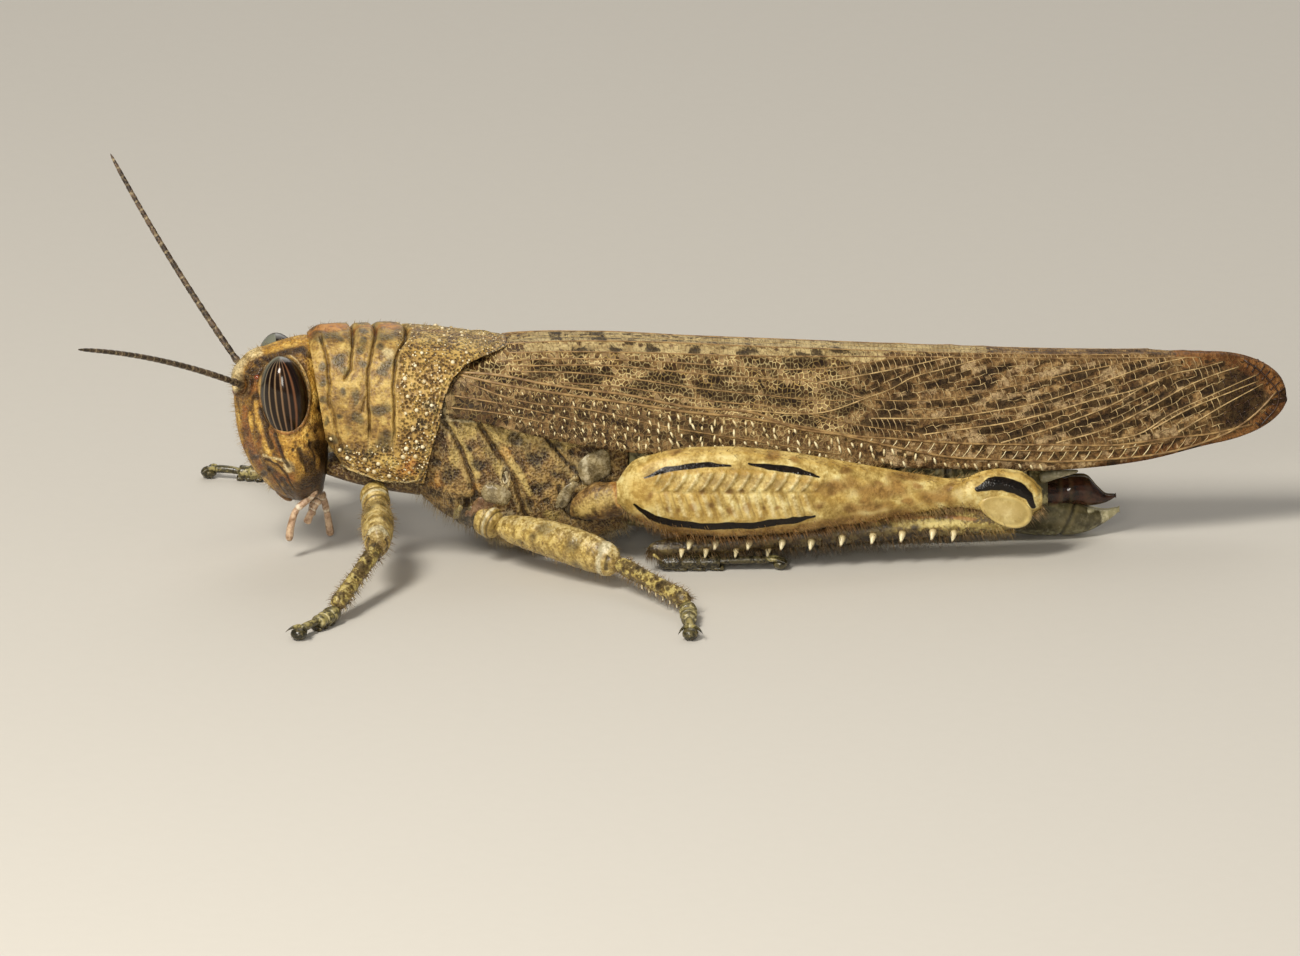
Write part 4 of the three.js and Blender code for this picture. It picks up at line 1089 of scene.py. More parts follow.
def makeWingMembrane():
    # Parchment-like wing film: clouded brown, a different tone in every cell, with pale raised cell walls.
    material, tree = newMaterial("wingParchment")
    place = add(tree, "TexCoord").outputs["Object"]
    paint = add(tree, "Attribute", {"attribute_name": "paint"})
    parts = add(tree, "SeparateColor", {}, {0: paint.outputs["Color"]})
    form = add(tree, "SeparateColor", {},
               {0: add(tree, "Attribute", {"attribute_name": "form"}).outputs["Color"]})
    broad, fine = (add(tree, "TexNoise", {"Scale": 1000 / size, "Detail": 4, "Roughness": 0.6},
                       {"Vector": place})
                   for size in (1.6, 0.3))
    both = add(tree, "MapRange", {1: 0.39, 2: 0.61}, {0: add(tree, "Math", {"operation": "MULTIPLY_ADD",
            1: 0.5}, {
        0: fine, 2: add(tree, "Math", {"operation": "MULTIPLY", 1: 0.5}, {0: broad})})})
    base = add(tree, "ValToRGB", {"stops": [(0.0, "#2f1f10"), (0.4, "#5c4226"), (0.65, "#7d603a"),
                                            (1.0, "#a38558")]},
               {"Fac": both}).outputs[0]
    sides = add(tree, "SeparateXYZ", {}, {0: place})
    flat = add(tree, "CombineXYZ", {}, {0: sides.outputs[0], 1: sides.outputs[2]})
    warp = add(tree, "TexNoise", {"Scale": 1000 / 0.9, "Detail": 2}, {"Vector": place})
    shifted = add(tree, "VectorMath", {"operation": "MULTIPLY_ADD", 1: (0.00045,) * 3},
                  {0: warp.outputs["Color"], 2: flat})
    cells = {key: add(tree, "TexVoronoi", {"voronoi_dimensions": "2D", "feature": key, "Scale": 1000 / 0.29,
                                           "Randomness": 0.9},
                      {"Vector": shifted}) for key in ("F1", "DISTANCE_TO_EDGE")}
    cellTone = add(tree, "SeparateColor", {}, {0: cells["F1"].outputs["Color"]})
    netShare = add(tree, "MapRange", {1: 0.0, 2: 1.0, 3: 0.9, 4: 0.08}, {0: form.outputs[2]})
    lighter = add(tree, "Math", {"operation": "MULTIPLY"}, {0: add(tree, "MapRange", {1: 0.5, 2: 1.0, 4: 0.7},
            {
        0: cellTone.outputs[0]}), 1: netShare})
    base = add(tree, "Mix", {"data_type": "RGBA", 7: "#ac9168"}, {0: lighter, 6: base}).outputs[2]
    darker = add(tree, "Math", {"operation": "MULTIPLY"}, {0: add(tree, "MapRange", {1: 0.5, 2: 0.0, 4: 0.7},
            {
        0: cellTone.outputs[0]}), 1: netShare})
    base = add(tree, "Mix", {"data_type": "RGBA", 7: "#301f12"}, {0: darker, 6: base}).outputs[2]
    speck = add(tree, "Math", {"operation": "MULTIPLY_ADD", 1: 0.9, 2: -0.45}, {0: fine})
    ragged = add(tree, "Math", {"operation": "MULTIPLY_ADD", 1: 0.4}, {0: cellTone.outputs[1], 2: add(
        tree, "Math", {"operation": "SUBTRACT", 1: 0.2}, {0: speck})})
    for source, stops, strength in ((parts.outputs[1], [(0.2, "#a38a5a"), (0.8, "#cdb884")], 0.85),
                                    (parts.outputs[2], [(0.2, "#543218"), (0.8, "#8a5c30")], 0.9),
                                    (paint.outputs["Alpha"], [(0.2, "#8a7150"), (0.8, "#bfa67e")], 0.62),
                                    (parts.outputs[0], [(0.2, "#1a0f06"), (0.8, "#38260f")], 0.92)):
        field = add(tree, "Math", {"operation": "ADD"}, {0: source, 1: ragged})
        mask = add(tree, "MapRange", {"interpolation_type": "SMOOTHSTEP", 1: 0.36, 2: 0.62, 4: strength},
                   {0: field})
        tint = add(tree, "ValToRGB", {"stops": stops}, {"Fac": both})
        base = add(tree, "Mix", {"data_type": "RGBA"}, {0: mask, 6: base, 7: tint}).outputs[2]
    wall = add(tree, "MapRange", {"interpolation_type": "SMOOTHSTEP", 1: 0.16, 2: 0.055},
               {0: cells["DISTANCE_TO_EDGE"]})
    fading = add(tree, "MapRange", {1: 0.36, 2: 0.6, 3: 0.35, 4: 1.0}, {0: warp})
    wallTint = add(tree, "ValToRGB", {"stops": [(0.2, "#b09257"), (0.8, "#ecd69c")]}, {"Fac": both})
    share = add(tree, "Math", {"operation": "MULTIPLY"}, {0: fading, 1: netShare})
    dimmed = add(tree, "MapRange", {1: 0.3, 2: 0.8, 3: 1.0, 4: 0.45}, {0: parts.outputs[0]})
    share = add(tree, "Math", {"operation": "MULTIPLY"}, {0: share, 1: dimmed})
    amount = add(tree, "Math", {"operation": "MULTIPLY"}, {0: wall, 1: share})
    base = add(tree, "Mix", {"data_type": "RGBA"}, {0: amount, 6: base, 7: wallTint}).outputs[2]
    # Raised edges painted paler: wear and painted highlight.
    edge = add(tree, "Math", {"operation": "MULTIPLY", 1: 0.3}, {0: form.outputs[1]})
    base = add(tree, "Mix", {"data_type": "RGBA", 7: "#a5875a"}, {0: edge, 6: base}).outputs[2]
    raised = add(tree, "Bump", {"Strength": 0.9, "Distance": 0.00007}, {"Height": add(
        tree, "Math", {"operation": "MULTIPLY_ADD", 1: 0.35}, {0: fine, 2: wall})})
    dull = add(tree, "MapRange", {1: 0.35, 2: 0.65, 3: 0.45, 4: 0.7}, {0: fine})
    surfaced(tree, {"Specular IOR Level": 0.16}, {"Base Color": base, "Roughness": dull, "Normal": raised})
    return material


makeWings()
print("fore wings")


# Shared forms for limbs and small parts
def placeAt(across, down, y):  # the point at depth y that shows at one step
    a, b = (across - sight["across"]) * sight["step"], (sight["down"] - down) * sight["step"]
    x = (a - rightward[1] * y) / rightward[0]
    return np.array((x, y, (b - upward[0] * x - upward[1] * y) / upward[2]))


def unit(vector):
    return vector / (np.linalg.norm(vector, axis=-1, keepdims=True) + 1e-9)


# a closed round form along route(t); radius(t, angle) in mm
def hoseLattice(route, radius, rings, sides, blunt=10):
    v, u = lattice(rings, sides)
    t, angle = (1 - np.cos(np.pi * v)) / 2, 2 * np.pi * u
    centre = route(t[:, 0])
    along = unit(np.gradient(centre, t[:, 0] + np.arange(rings + 1) * 1e-9, axis=0))
    across = unit(np.cross(np.array((0.02, 0, 1.0)), along))
    deep = np.cross(along, across)
    dome = np.sqrt(np.clip(1 - np.abs(2 * t - 1) ** blunt, 0, 1))
    wide, high = radius(t, angle)
    offset = (across[:, None] * (wide * dome * np.cos(angle))[..., None]
              + deep[:, None] * (high * dome * np.sin(angle))[..., None])
    points = centre[:, None] + offset
    points[..., 2] = np.maximum(points[..., 2], 0)
    return points, t, angle


def straight(start, end, bow=0.0):
    start, end = np.array(start, float), np.array(end, float)
    lift = np.array((0, 0, bow))
    return lambda t: start + (end - start) * t[:, None] + lift * np.sin(np.pi * t)[:, None]


def bent(start, control, end):
    start, control, end = (np.array(p, float) for p in (start, control, end))
    return lambda t: (start * ((1 - t) ** 2)[:, None] + control * (2 * t * (1 - t))[:,
            None] + end * (t ** 2)[:, None])


def joined(meshes):
    bm = bmesh.new()
    for mesh in meshes:
        bm.from_mesh(mesh)
    whole = bpy.data.meshes.new("joined")
    bm.to_mesh(whole)
    bm.free()
    return whole


def speckled(t, angle, length, girth, count, size, dice, span=(0.05, 0.95)):  # random blots on a limb
    field = np.zeros(t.shape)
    for _ in range(count):
        at, turned = dice.uniform(*span), dice.uniform(0, 2 * np.pi)
        spread = size * dice.uniform(0.6, 1.3)
        around = (angle - turned + np.pi) % (2 * np.pi) - np.pi
        reach = np.hypot((t - at) * length / 1.3, around * girth) / spread
        np.maximum(field, np.clip(1 - reach, 0, 1), out=field)
    return field


# Jumping legs
thigh = {
    # [place, top, bottom, half thickness, middle]
    "section": [(-2.7, 6.3, 4.8, 0.6, -6.5), (-2.0, 7.4, 4.2, 1.05, -6.7), (0.0, 8.3, 3.2, 1.5, -7.0),
                (4.5, 8.7, 2.4, 1.7, -7.1),
                (9.0, 8.2, 2.6, 1.6, -6.95), (13.5, 7.2, 3.0, 1.3, -6.6), (18.0, 6.2, 3.65, 1.0, -6.2),
                (21.0, 5.75, 3.9, 0.85, -6.0), (23.5, 6.35, 3.3, 0.95, -5.9), (25.2, 6.1, 2.9, 0.95, -5.8),
                (26.6, 4.9, 3.8, 0.6, -5.8)],
    "lines": [
        ("ink", 5.6, 0, [(645, 477.5), (666, 470), (686, 466.5), (708, 465), (730, 465.5)]),
        ("ink", 6.4, 0, [(748, 464.5), (771, 467), (792, 470), (818, 477)]),
        ("ink", 6.6, 0, [(634, 504), (652, 517), (673, 523), (701, 526), (750, 525.4), (778, 522),
                         (814, 516.5)]),
        ("yellow", 7, 0.07, [(640, 470), (660, 458), (700, 452), (740, 452), (790, 458), (840, 465),
                             (879, 470), (915, 477),
                             (958, 482)]),
        ("yellow", 5, 0.04, [(645, 480), (680, 472), (720, 471), (760, 473), (815, 483)]),
        ("rust", 13, 0.02, [(640, 519), (652, 528), (700, 535), (750, 535), (800, 529), (850, 522),
                            (905, 514)]),
        ("dark", 8, 0, [(636, 524), (660, 535), (700, 539), (750, 539), (800, 535), (850, 528), (905, 520)]),
        ("dark", 2.5, 0, [(820, 531), (869, 525), (903, 519), (935, 514), (970, 513)]),
        # The pale ridge over the knee: its cream colour and a painted highlight along it.
        ("yellow", 4.4, 0.12, [(952, 488), (966, 481.5), (980, 476.5), (998, 472.6), (1018, 475.6),
                               (1030, 483.5), (1035, 494)]),
        ("ink", 13.5, 0.24, [(976, 489), (988, 484.5), (1002, 484), (1016, 488), (1026, 496), (1031, 505)]),
    ],
    "spots": [
        ("rust", 0, [(666, 510, 6, 6), (679.5, 510, 6, 6), (694, 506, 6, 6), (710, 506.5, 7, 6),
                     (730, 510, 7, 7), (746, 508, 6, 6),
                     (777, 506, 7, 6), (762, 509, 6, 6), (702, 491, 6, 5), (729, 493, 7, 5), (741, 491, 6, 5),
                     (879, 482.5, 12, 6),
                     (895, 484, 12, 6), (917, 486.5, 14, 7), (946, 488.4, 12, 6), (677, 452.5, 14, 6),
                     (773, 457, 16, 6),
                     (792, 461, 12, 6), (845, 471, 12, 6), (862, 500, 10, 7), (905, 500, 12, 7),
                     (830, 493, 10, 8),
                     (930, 498, 12, 7), (848, 510, 12, 7), (650, 497, 6, 6), (818, 505, 9, 8)]),
        ("haze", 0, [(880, 490, 80, 20), (938, 497, 50, 17), (836, 486, 50, 14), (870, 507, 70, 11),
                     (905, 478, 50, 9)]),
        ("yellow", 0, [(872, 494, 30, 12), (915, 498, 30, 10), (838, 499, 26, 14), (946, 500, 24, 9),
                       (858, 484, 24, 9),
                     (820, 492, 18, 14), (890, 505, 22, 8), (900, 488, 22, 8), (930, 507, 22, 7),
                     (805, 502, 14, 12)]),
        ("yellow", 0, [(660, 497, 40, 22), (700, 515, 50, 14), (760, 514, 50, 14), (690, 500, 60, 14),
                       (640, 490, 24, 26)]),
    ],
    "tibia": ((25.6, -5.8, 3.1), (-0.6, -6.9, 1.55)),
    "spines": [(690, 541), (716, 541), (749, 541), (782, 541), (811, 541), (841.7, 537), (872.4, 535),
               (901.5, 533), (932, 531),
               (953, 532)],
    "innerSpines": [(682, 549), (706, 549), (736, 549), (768, 549), (798, 548), (829, 546), (858, 544),
                    (888, 541), (919, 538)],
}


def makeThighs():
    share = np.concatenate([np.zeros(5), np.linspace(0, 1, 390), np.ones(5)])
    shrink = np.concatenate([np.sqrt(np.linspace(0, 0.94, 5)), np.ones(390), np.sqrt(np.linspace(0.94, 0,
            5))])
    share, angle = np.meshgrid(share, np.linspace(-np.pi / 2, 1.5 * np.pi, 185), indexing="ij")
    x = -2.75 + 29.35 * share
    top, bottom, half, middle = through(thigh["section"])(x)
    y = middle + shrink[:, None] * power(np.cos(angle), 0.8) * half
    z = (top + bottom) / 2 + shrink[:, None] * np.sin(angle) * (top - bottom) / 2
    points = np.stack([x, y, z], -1)
    lift, paint = marked(points, thigh["lines"], thigh["spots"])
    across, down = seen(points)
    side = np.clip(-np.cos(angle) * 2.2, 0, 1)
    reachAlong = np.clip((across - 648) / 10, 0, 1) * np.clip((835 - across) / 30, 0.22,
            1) * np.clip((962 - across) / 20, 0, 1)
    upper = np.clip((down - 470) / 4, 0, 1) * np.clip((493 - down) / 3, 0, 1) * reachAlong * side
    lower = np.clip((down - 491) / 4, 0, 1) * np.clip((521 - down) / 5, 0, 1) * reachAlong * side
    risen = (across + (down - 492) * 11 / 18 + 2.2 * ((down - 481) / 11) ** 2 - 650) / 12.6
    sunk = (across - (down - 492) * 9 / 28 - 652) / 12.6
    ridge = bump(risen - np.rint(risen), 0.23)
    lobe = np.abs(np.cos(np.pi * sunk))
    lift += 0.1 * upper * ridge - 0.05 * upper * bump(risen - np.rint(risen) - 0.3, 0.14)
    lift += 0.12 * lower * (lobe - 0.5)
    lift -= 0.07 * side * bump(down - 492, 2.2) * reachAlong
    # Pale paint on the raised ridges and lobes is partly painted highlight; the dark beside each ridge is painted
    # shadow; the rust in the gaps between lobes is their own colour with painted shade.
    paint[..., 3] = np.maximum(paint[..., 3], 0.56 * upper * ridge + 0.5 * lower * lobe ** 2)
    paint[..., 0] = np.maximum(paint[..., 0], 0.3 * upper * bump(risen - np.rint(risen) - 0.24, 0.14))
    paint[..., 2] = np.maximum(paint[..., 2], 0.42 * lower * bump(1 - lobe - 0.95, 0.3) * (down < 517))
    keel = bump(angle - np.pi / 2, 0.09) + bump(np.abs(angle - np.pi / 2) - np.pi, 0.1)
    lift += 0.12 * keel * np.clip(share * 12, 0, 1)
    lift[:6] = lift[-6:] = 0
    mesh, points, normal = skin(points, paint, lift, form=0.5)
    cuticle = chitin("thighCuticle", {  # pale waxy cuticle, finely wrinkled, with lacquer-black streaks
        "mottle": 1.6, "grain": 0.2, "bump": 0.03, "pit": 0.16, "pitShade": 0.18, "shade": "#4a3516",
        "ragged": 0.7,
        "base": [(0.0, "#957a3c"), (0.4, "#bba05c"), (0.65, "#d2bb76"), (1.0, "#e2d294")],
        "darkStrength": 1.0,
        "yellow": [(0.2, "#ac8a42"), (0.8, "#d0b266")], "rust": [(0.2, "#6e4e24"), (0.8, "#9c7438")],
        "softness": 0.26,
        "pale": [(0.2, "#c6b88a"), (0.8, "#ebe0b4")], "dark": [(0.2, "#070403"), (0.8, "#140c06")],
        "rim": 0.0,
        "rough": (0.34, 0.5), "markRough": 0.26, "wearAndHighlightShare": 0.0, "grooveShade": 0.35, "shine": 0.32})
    makePiece("thighLeft", mesh.copy(), cuticle, ["hindleg_femur_left"])
    makePiece("thighRight", mirrored(mesh), cuticle, ["hindleg_femur_right"])
    # a pale lobe on each side of the knee
    lobes = []
    for depth, thick in ((-6.72, 0.26), (-4.98, 0.22)):
        centre = placeAt(1004, 510, -6.7) * (1, 0, 1) + (0, depth, 0)
        v, u = lattice(28, 48)
        polar, azimuth = np.pi * v, 2 * np.pi * u
        length, high = 1.92, 1.08
        tilt = math.radians(19)
        a = length * np.sin(polar) * np.cos(azimuth)
        b = high * np.sin(polar) * np.sin(azimuth) * (1 + 0.22 * np.sin(polar) * np.cos(azimuth))
        c = thick * np.cos(polar)
        form = np.stack([a * math.cos(tilt) + b * math.sin(tilt), c,
                         -a * math.sin(tilt) + b * math.cos(tilt)], -1) + centre
        rim = 0.07 * bump(np.sin(polar) - 0.9, 0.07)
        tint = np.zeros(rim.shape + (4,))
        tint[..., 3] = 0.6 * np.clip(1.2 - np.hypot(a / length, b / high) * 1.3, 0, 1)
        tint[..., 1] = np.clip(np.hypot(a / length, b / high) - 0.45, 0, 1)
        lobes.append(skin(form, tint, rim, form=0.2)[0])
    pair = joined(lobes)
    lobeCuticle = chitin("kneeLobeCuticle", {  # smooth translucent-looking horn at the knee
        "mottle": 2.0, "grain": 0.6, "bump": 0.008, "pit": 0.3, "pitShade": 0.0, "shade": "#6a5a30",
        "softness": 0.4,
        "base": [(0.2, "#b29a5a"), (0.5, "#bfa866"), (0.8, "#cdb878")], "rim": 0.0, "ragged": 0.25,
        "yellow": [(0.2, "#c2a862"), (0.8, "#d2ba72")], "rust": [(0.35, "#80531f"), (0.65, "#aa7a38")],
        "pale": [(0.2, "#cbb67c"), (0.8, "#e4d6a2")], "dark": [(0.35, "#1c150c"), (0.65, "#32261a")],
        "rough": (0.24, 0.36), "shine": 0.5})
    makePiece("kneeLobesLeft", pair.copy(), lobeCuticle)
    makePiece("kneeLobesRight", mirrored(pair), lobeCuticle)
    return points, normal, paint


thighSkin = makeThighs()
print("thighs")


def makeSpineHorn():
    # Hard tapering spines: cream horn with a dark sharp tip.
    material, tree = newMaterial("spineHorn")
    plan = add(tree, "SeparateXYZ", {}, {0: add(tree, "UVMap", {"uv_map": "plan"})})
    tint = add(tree, "ValToRGB", {"stops": [(0.0, "#7a5c30"), (0.12, "#cdbb8a"), (0.7, "#e6dab2"),
                                            (0.86, "#5a4022"),
                                            (0.96, "#140d08")]}, {"Fac": plan.outputs[1]})
    grain = add(tree, "TexNoise", {"Scale": 1000 / 0.3, "Detail": 3},
                {"Vector": add(tree, "TexCoord").outputs["Object"]})
    raised = add(tree, "Bump", {"Strength": 0.25, "Distance": 0.00002}, {"Height": grain})
    surfaced(tree, {"Roughness": 0.3}, {"Base Color": tint, "Normal": raised})
    return material


spineHorn = makeSpineHorn()


def scattered(template, bases, axes, lengths, radii, bends=None, places=None, tints=None):
    # Copies of a small form that stands on its base along +Z, joined in one mesh.
    # The places are their roots on the skin's unwrap.
    count = len(bases)
    form = np.array([v.co for v in template.vertices])
    faces = [tuple(p.vertices) for p in template.polygons]
    axes = unit(np.asarray(axes, float))
    side = unit(np.cross(axes, np.where(np.abs(axes[:, :1]) < 0.8, (1.0, 0, 0), (0, 1.0, 0))))
    other = np.cross(axes, side)
    bends = np.zeros((count, 3)) if bends is None else bends
    lengths, radii = np.asarray(lengths, float), np.asarray(radii, float)
    at = (bases[:, None] + form[None, :, :1] * (side * radii[:, None])[:, None]
          + form[None, :, 1:2] * (other * radii[:, None])[:, None]
          + form[None, :, 2:] * (axes * lengths[:, None])[:, None]
          + (form[None, :, 2:] ** 2) * (bends * lengths[:, None])[:, None])
    at[..., 2] = np.maximum(at[..., 2], 0.01)
    mesh = bpy.data.meshes.new("scattered")
    starts = np.arange(count) * len(form)
    everyFace = [tuple(int(k + start) for k in face) for start in starts for face in faces]
    mesh.from_pydata(at.reshape(-1, 3).tolist(), [], everyFace)
    corner = np.empty(len(mesh.loops), int)
    mesh.loops.foreach_get("vertex_index", corner)
    item, local = corner // len(form), corner % len(form)
    plan = mesh.uv_layers.new(name="plan")
    plan.data.foreach_set("uv", np.column_stack([np.full(len(corner), 0.5),
            form[local, 2]]).astype(np.float32).ravel())
    if places is not None:
        patch = mesh.uv_layers.new(name="OFBake")
        spot = places[item] + 0.0015 * np.column_stack([form[local, 0], form[local, 2] * 2 - 1])
        patch.data.foreach_set("uv", spot.astype(np.float32).ravel())
    if tints is not None:
        attribute = mesh.color_attributes.new("paint", "FLOAT_COLOR", "POINT")
        attribute.data.foreach_set("color", np.repeat(tints, len(form), 0).astype(np.float32).ravel())
    return mesh


def coneForm(sides, cuts=1, tip=0.0):
    bm = bmesh.new()
    bmesh.ops.create_cone(bm, cap_ends=True, segments=sides, radius1=1, radius2=tip, depth=1,
                          matrix=Matrix.Translation((0, 0, 0.5)))
    for k in range(cuts):
        bmesh.ops.bisect_plane(bm, geom=bm.verts[:] + bm.edges[:] + bm.faces[:], plane_co=(0, 0,
                (k + 1) / (cuts + 1)),
                               plane_no=(0, 0, 1))
    mesh = bpy.data.meshes.new("cone")
    bm.to_mesh(mesh)
    bm.free()
    return mesh


def domeForm(rings, sides):
    bm = bmesh.new()
    bmesh.ops.create_uvsphere(bm, u_segments=sides, v_segments=rings, radius=1)
    bmesh.ops.bisect_plane(bm, geom=bm.verts[:] + bm.edges[:] + bm.faces[:], plane_co=(0, 0, -0.25),
                           plane_no=(0, 0, 1),
                           clear_inner=True)
    mesh = bpy.data.meshes.new("dome")
    bm.to_mesh(mesh)
    bm.free()
    return mesh


def claw(root, tip, radius=0.16, drop=0.25):
    root, tip = np.array(root, float), np.array(tip, float)
    control = (root + tip) / 2 + (0, 0, drop)
    points, t, _ = hoseLattice(bent(root, control, tip), lambda t, a: (radius * (1.05 - t),) * 2, 16, 10)
    tint = np.zeros(t.shape + (4,))
    tint[..., 0] = np.clip((t - 0.25) * 2.2, 0, 1)
    return skin(points, tint, form=0.1)[0]


def makeShins():
    dice = np.random.default_rng(21)
    start, end = thigh["tibia"]
    points, t, angle = hoseLattice(straight(start, end), lambda t, a: (
        (0.85 - 0.23 * t) * (1 - 0.12 * np.sin(a) ** 2), (0.9 - 0.22 * t)), 200, 56, blunt=14)
    lift, paint = marked(points, [
        ("yellow", 6, 0, [(890, 524), (930, 524), (978, 525), (1022, 531)]),
        ("rust", 3.5, 0.03, [(905, 518), (937, 516), (974, 519)]),
        # Painted shadow: the shin is darkened where it lies under the thigh.
        ("deep", 24, 0, [(640, 541), (740, 541), (820, 538), (870, 540)]),
        ("dark", 24, 0, [(870, 542), (940, 544), (1000, 546)]),
        ("rust", 8, 0, [(650, 534), (740, 535), (820, 529)]),
    ])
    paint[..., 0] = np.maximum(paint[..., 0], 0.85 * speckled(t, angle, 26, 0.75, 46, 0.8, dice))
    lift += 0.05 * np.abs(np.cos(angle * 2)) ** 3
    mesh, points, normal = skin(points, paint, lift, form=0.5)
    cuticle = chitin("shinCuticle", {  # olive-brown bristly cuticle with cloudy dark blots
        "mottle": 0.9, "grain": 0.2, "bump": 0.03, "pit": 0.18, "pitShade": 0.3, "shade": "#2b1f10",
        "base": [(0.3, "#544322"), (0.45, "#7d6833"), (0.58, "#9f8a48"), (0.72, "#bba964")], "ragged": 0.9,
        "yellow": [(0.35, "#a8934e"), (0.65, "#cfbd7a")], "rust": [(0.35, "#6b3f1a"), (0.65, "#94622f")],
        "pale": [(0.35, "#a39a76"), (0.65, "#cfc6a0")], "dark": [(0.35, "#1f150b"), (0.65, "#3a2a16")],
        "rim": 0.1,
        "rough": (0.34, 0.55)})
    makePiece("shinLeft", mesh.copy(), cuticle, ["hindleg_tibia_left"])
    makePiece("shinRight", mirrored(mesh), cuticle, ["hindleg_tibia_right"])
    tree = treeOf(mesh)
    bases, axes, sizes = [], [], []
    for row, lean, size in ((thigh["spines"], (-0.15, -0.62, -0.62), 1.0), (thigh["innerSpines"],
            (-0.1, -0.2, -0.95), 0.8)):
        for x, y in row:
            hit = landing(tree, x, y)
            if hit:
                bases.append(hit[0] - hit[1] * 0.08)
                axes.append(np.array(lean) + hit[1] * 0.3)
                sizes.append(size)
    sizes = np.array(sizes)
    spines = scattered(coneForm(8, 2), np.array(bases), np.array(axes), 0.96 * sizes, 0.31 * sizes,
                       np.tile((-0.12, 0, -0.05), (len(bases), 1)))
    ankle = np.array(end)
    spurs = [claw(ankle + (0.3, side * 0.45, -0.2), ankle + (1.1, side * 0.75, -0.75), 0.12,
                  -0.1) for side in (-1, 1)]
    makePiece("shinSpinesLeft", spines.copy(), spineHorn)
    makePiece("shinSpinesRight", mirrored(spines), spineHorn)
    makePiece("shinSpursLeft", joined(spurs), cuticle)
    makePiece("shinSpursRight", mirrored(joined(spurs)), cuticle)
    return cuticle, (points, normal, paint)


shinCuticle, shinSkin = makeShins()
print("shins")

footCuticle = chitin("footCuticle", {  # dark soles and claws, slightly greasy
    "mottle": 0.7, "grain": 0.18, "bump": 0.02, "pit": 0.15, "pitShade": 0.25, "shade": "#17130b",
    "base": [(0.3, "#3f3a22"), (0.45, "#625a35"), (0.6, "#857a4a"), (0.72, "#a1955f")],
    "yellow": [(0.35, "#8f8250"), (0.65, "#b5a870")], "rust": [(0.35, "#6b4520"), (0.65, "#94683a")],
    "pale": [(0.35, "#8c8668"), (0.65, "#b8b18e")], "dark": [(0.35, "#0f0c09"), (0.65, "#262118")],
    "rough": (0.28, 0.48), "markRough": 0.24})


def ringed(start, end, wide, high, rings=26, sides=22, darkness=0.0, paleEnds=0.5, bow=0.0, seed=3):
    # one ring of a foot: waisted, with a pale hind rim and a darker sole
    points, t, angle = hoseLattice(straight(start, end, bow), lambda t, a: (
        wide * (0.86 + 0.2 * t), high * (0.86 + 0.2 * t)), rings, sides, blunt=6)
    tint = np.zeros(t.shape + (4,))
    dice = np.random.default_rng(seed)
    tint[..., 0] = np.maximum(darkness, 0.85 * speckled(t, angle, 2.0, wide, 4, 0.4,
            dice)) + 0.3 * (np.sin(angle) < -0.2)
    tint[..., 3] = paleEnds * bump(t - 0.95, 0.08)
    return skin(points, np.clip(tint, 0, 1), 0.03 * bump(t - 0.93, 0.06), form=0.3)[0]


def footMesh(heel, toe, darkness=0.0, big=1.0):
    heel, toe = np.array(heel, float), np.array(toe, float)
    onward = unit((toe - heel) * (1, 1, 0))
    sideways = np.array((-onward[1], onward[0], 0))

    def at(share, aside, z):
        spot = heel * (1 - share) + toe * share + sideways * aside * big
        spot[2] = z
        return spot

    top = heel[2]
    pieces = [ringed(at(0.0, 0, top - 0.4), at(0.22, 0, 0.7), 0.62 * big, 0.56, darkness=darkness, seed=1),
              ringed(at(0.16, 0, 0.66), at(0.37, 0, 0.62), 0.6 * big, 0.52, darkness=darkness, seed=2),
              ringed(at(0.32, 0, 0.6), at(0.54, 0, 0.6), 0.54 * big, 0.5, darkness=darkness, seed=4),
              ringed(at(0.46, 0, 0.6), at(0.98, 0, 0.68), 0.3 * big, 0.28, 40, 18, darkness, bow=0.08,
                     seed=5)]
    for k, share in enumerate((0.12, 0.28, 0.44)):  # three pads under the foot
        pieces.append(ringed(at(share, 0, 0.22), at(share + 0.13, 0, 0.18), 0.42 * big, 0.2, 14, 16, 0.75, 0,
                             seed=6 + k))
    v, u = lattice(22, 28)
    polar, azimuth = np.pi * v, 2 * np.pi * u
    pad = np.stack([0.56 * np.sin(polar) * np.cos(azimuth), 0.56 * np.sin(polar) * np.sin(azimuth),
                    0.42 * np.cos(polar)], -1)
    tint = np.zeros(pad.shape[:2] + (4,))
    tint[..., 0] = 0.62
    pieces.append(skin(pad * big + at(1.06, 0, 0.44), tint, form=0.4)[0])
    for side in (-1, 1):
        pieces.append(claw(at(0.93, 0.16 * side, 0.74), at(1.14, 0.86 * side, 0.5), 0.2 * big, 0.34))
    return joined(pieces)


def makeHindFeet():
    foot = footMesh((0.1, -6.95, 1.0), (8.0, -7.15, 0.5), 0.72, 0.92)
    makePiece("hindFootLeft", foot.copy(), footCuticle, ["hindleg_tarsus_left"])
    makePiece("hindFootRight", mirrored(foot), footCuticle, ["hindleg_tarsus_right"])


makeHindFeet()


# Walking legs: [hip, trochanter, knee, ankle, toe]
walkingLegs = {
    "foreleg_left": [(-19.3, -2.9, 5.0), (-19.1, -4.7, 4.2), (-19.5, -11.7, 3.5), (-22.7, -17.9, 1.15),
                     (-25.3, -21.7, 0.5)],
    "foreleg_right": [(-19.3, 2.9, 5.0), (-19.2, 4.7, 4.2), (-21.0, 11.9, 4.4), (-25.3, 17.0, 1.2),
                      (-29.3, 18.3, 0.5)],
    "midleg_left": [(-12.0, -3.9, 3.3), (-10.8, -5.1, 2.9), (-3.0, -11.8, 2.0), (1.3, -18.4, 1.15),
                    (1.1, -23.5, 0.5)],
    "midleg_right": [(-12.0, 3.9, 3.3), (-10.8, 5.1, 2.9), (-3.0, 11.8, 2.0), (1.3, 18.4, 1.15),
                     (1.1, 23.5, 0.5)],
}


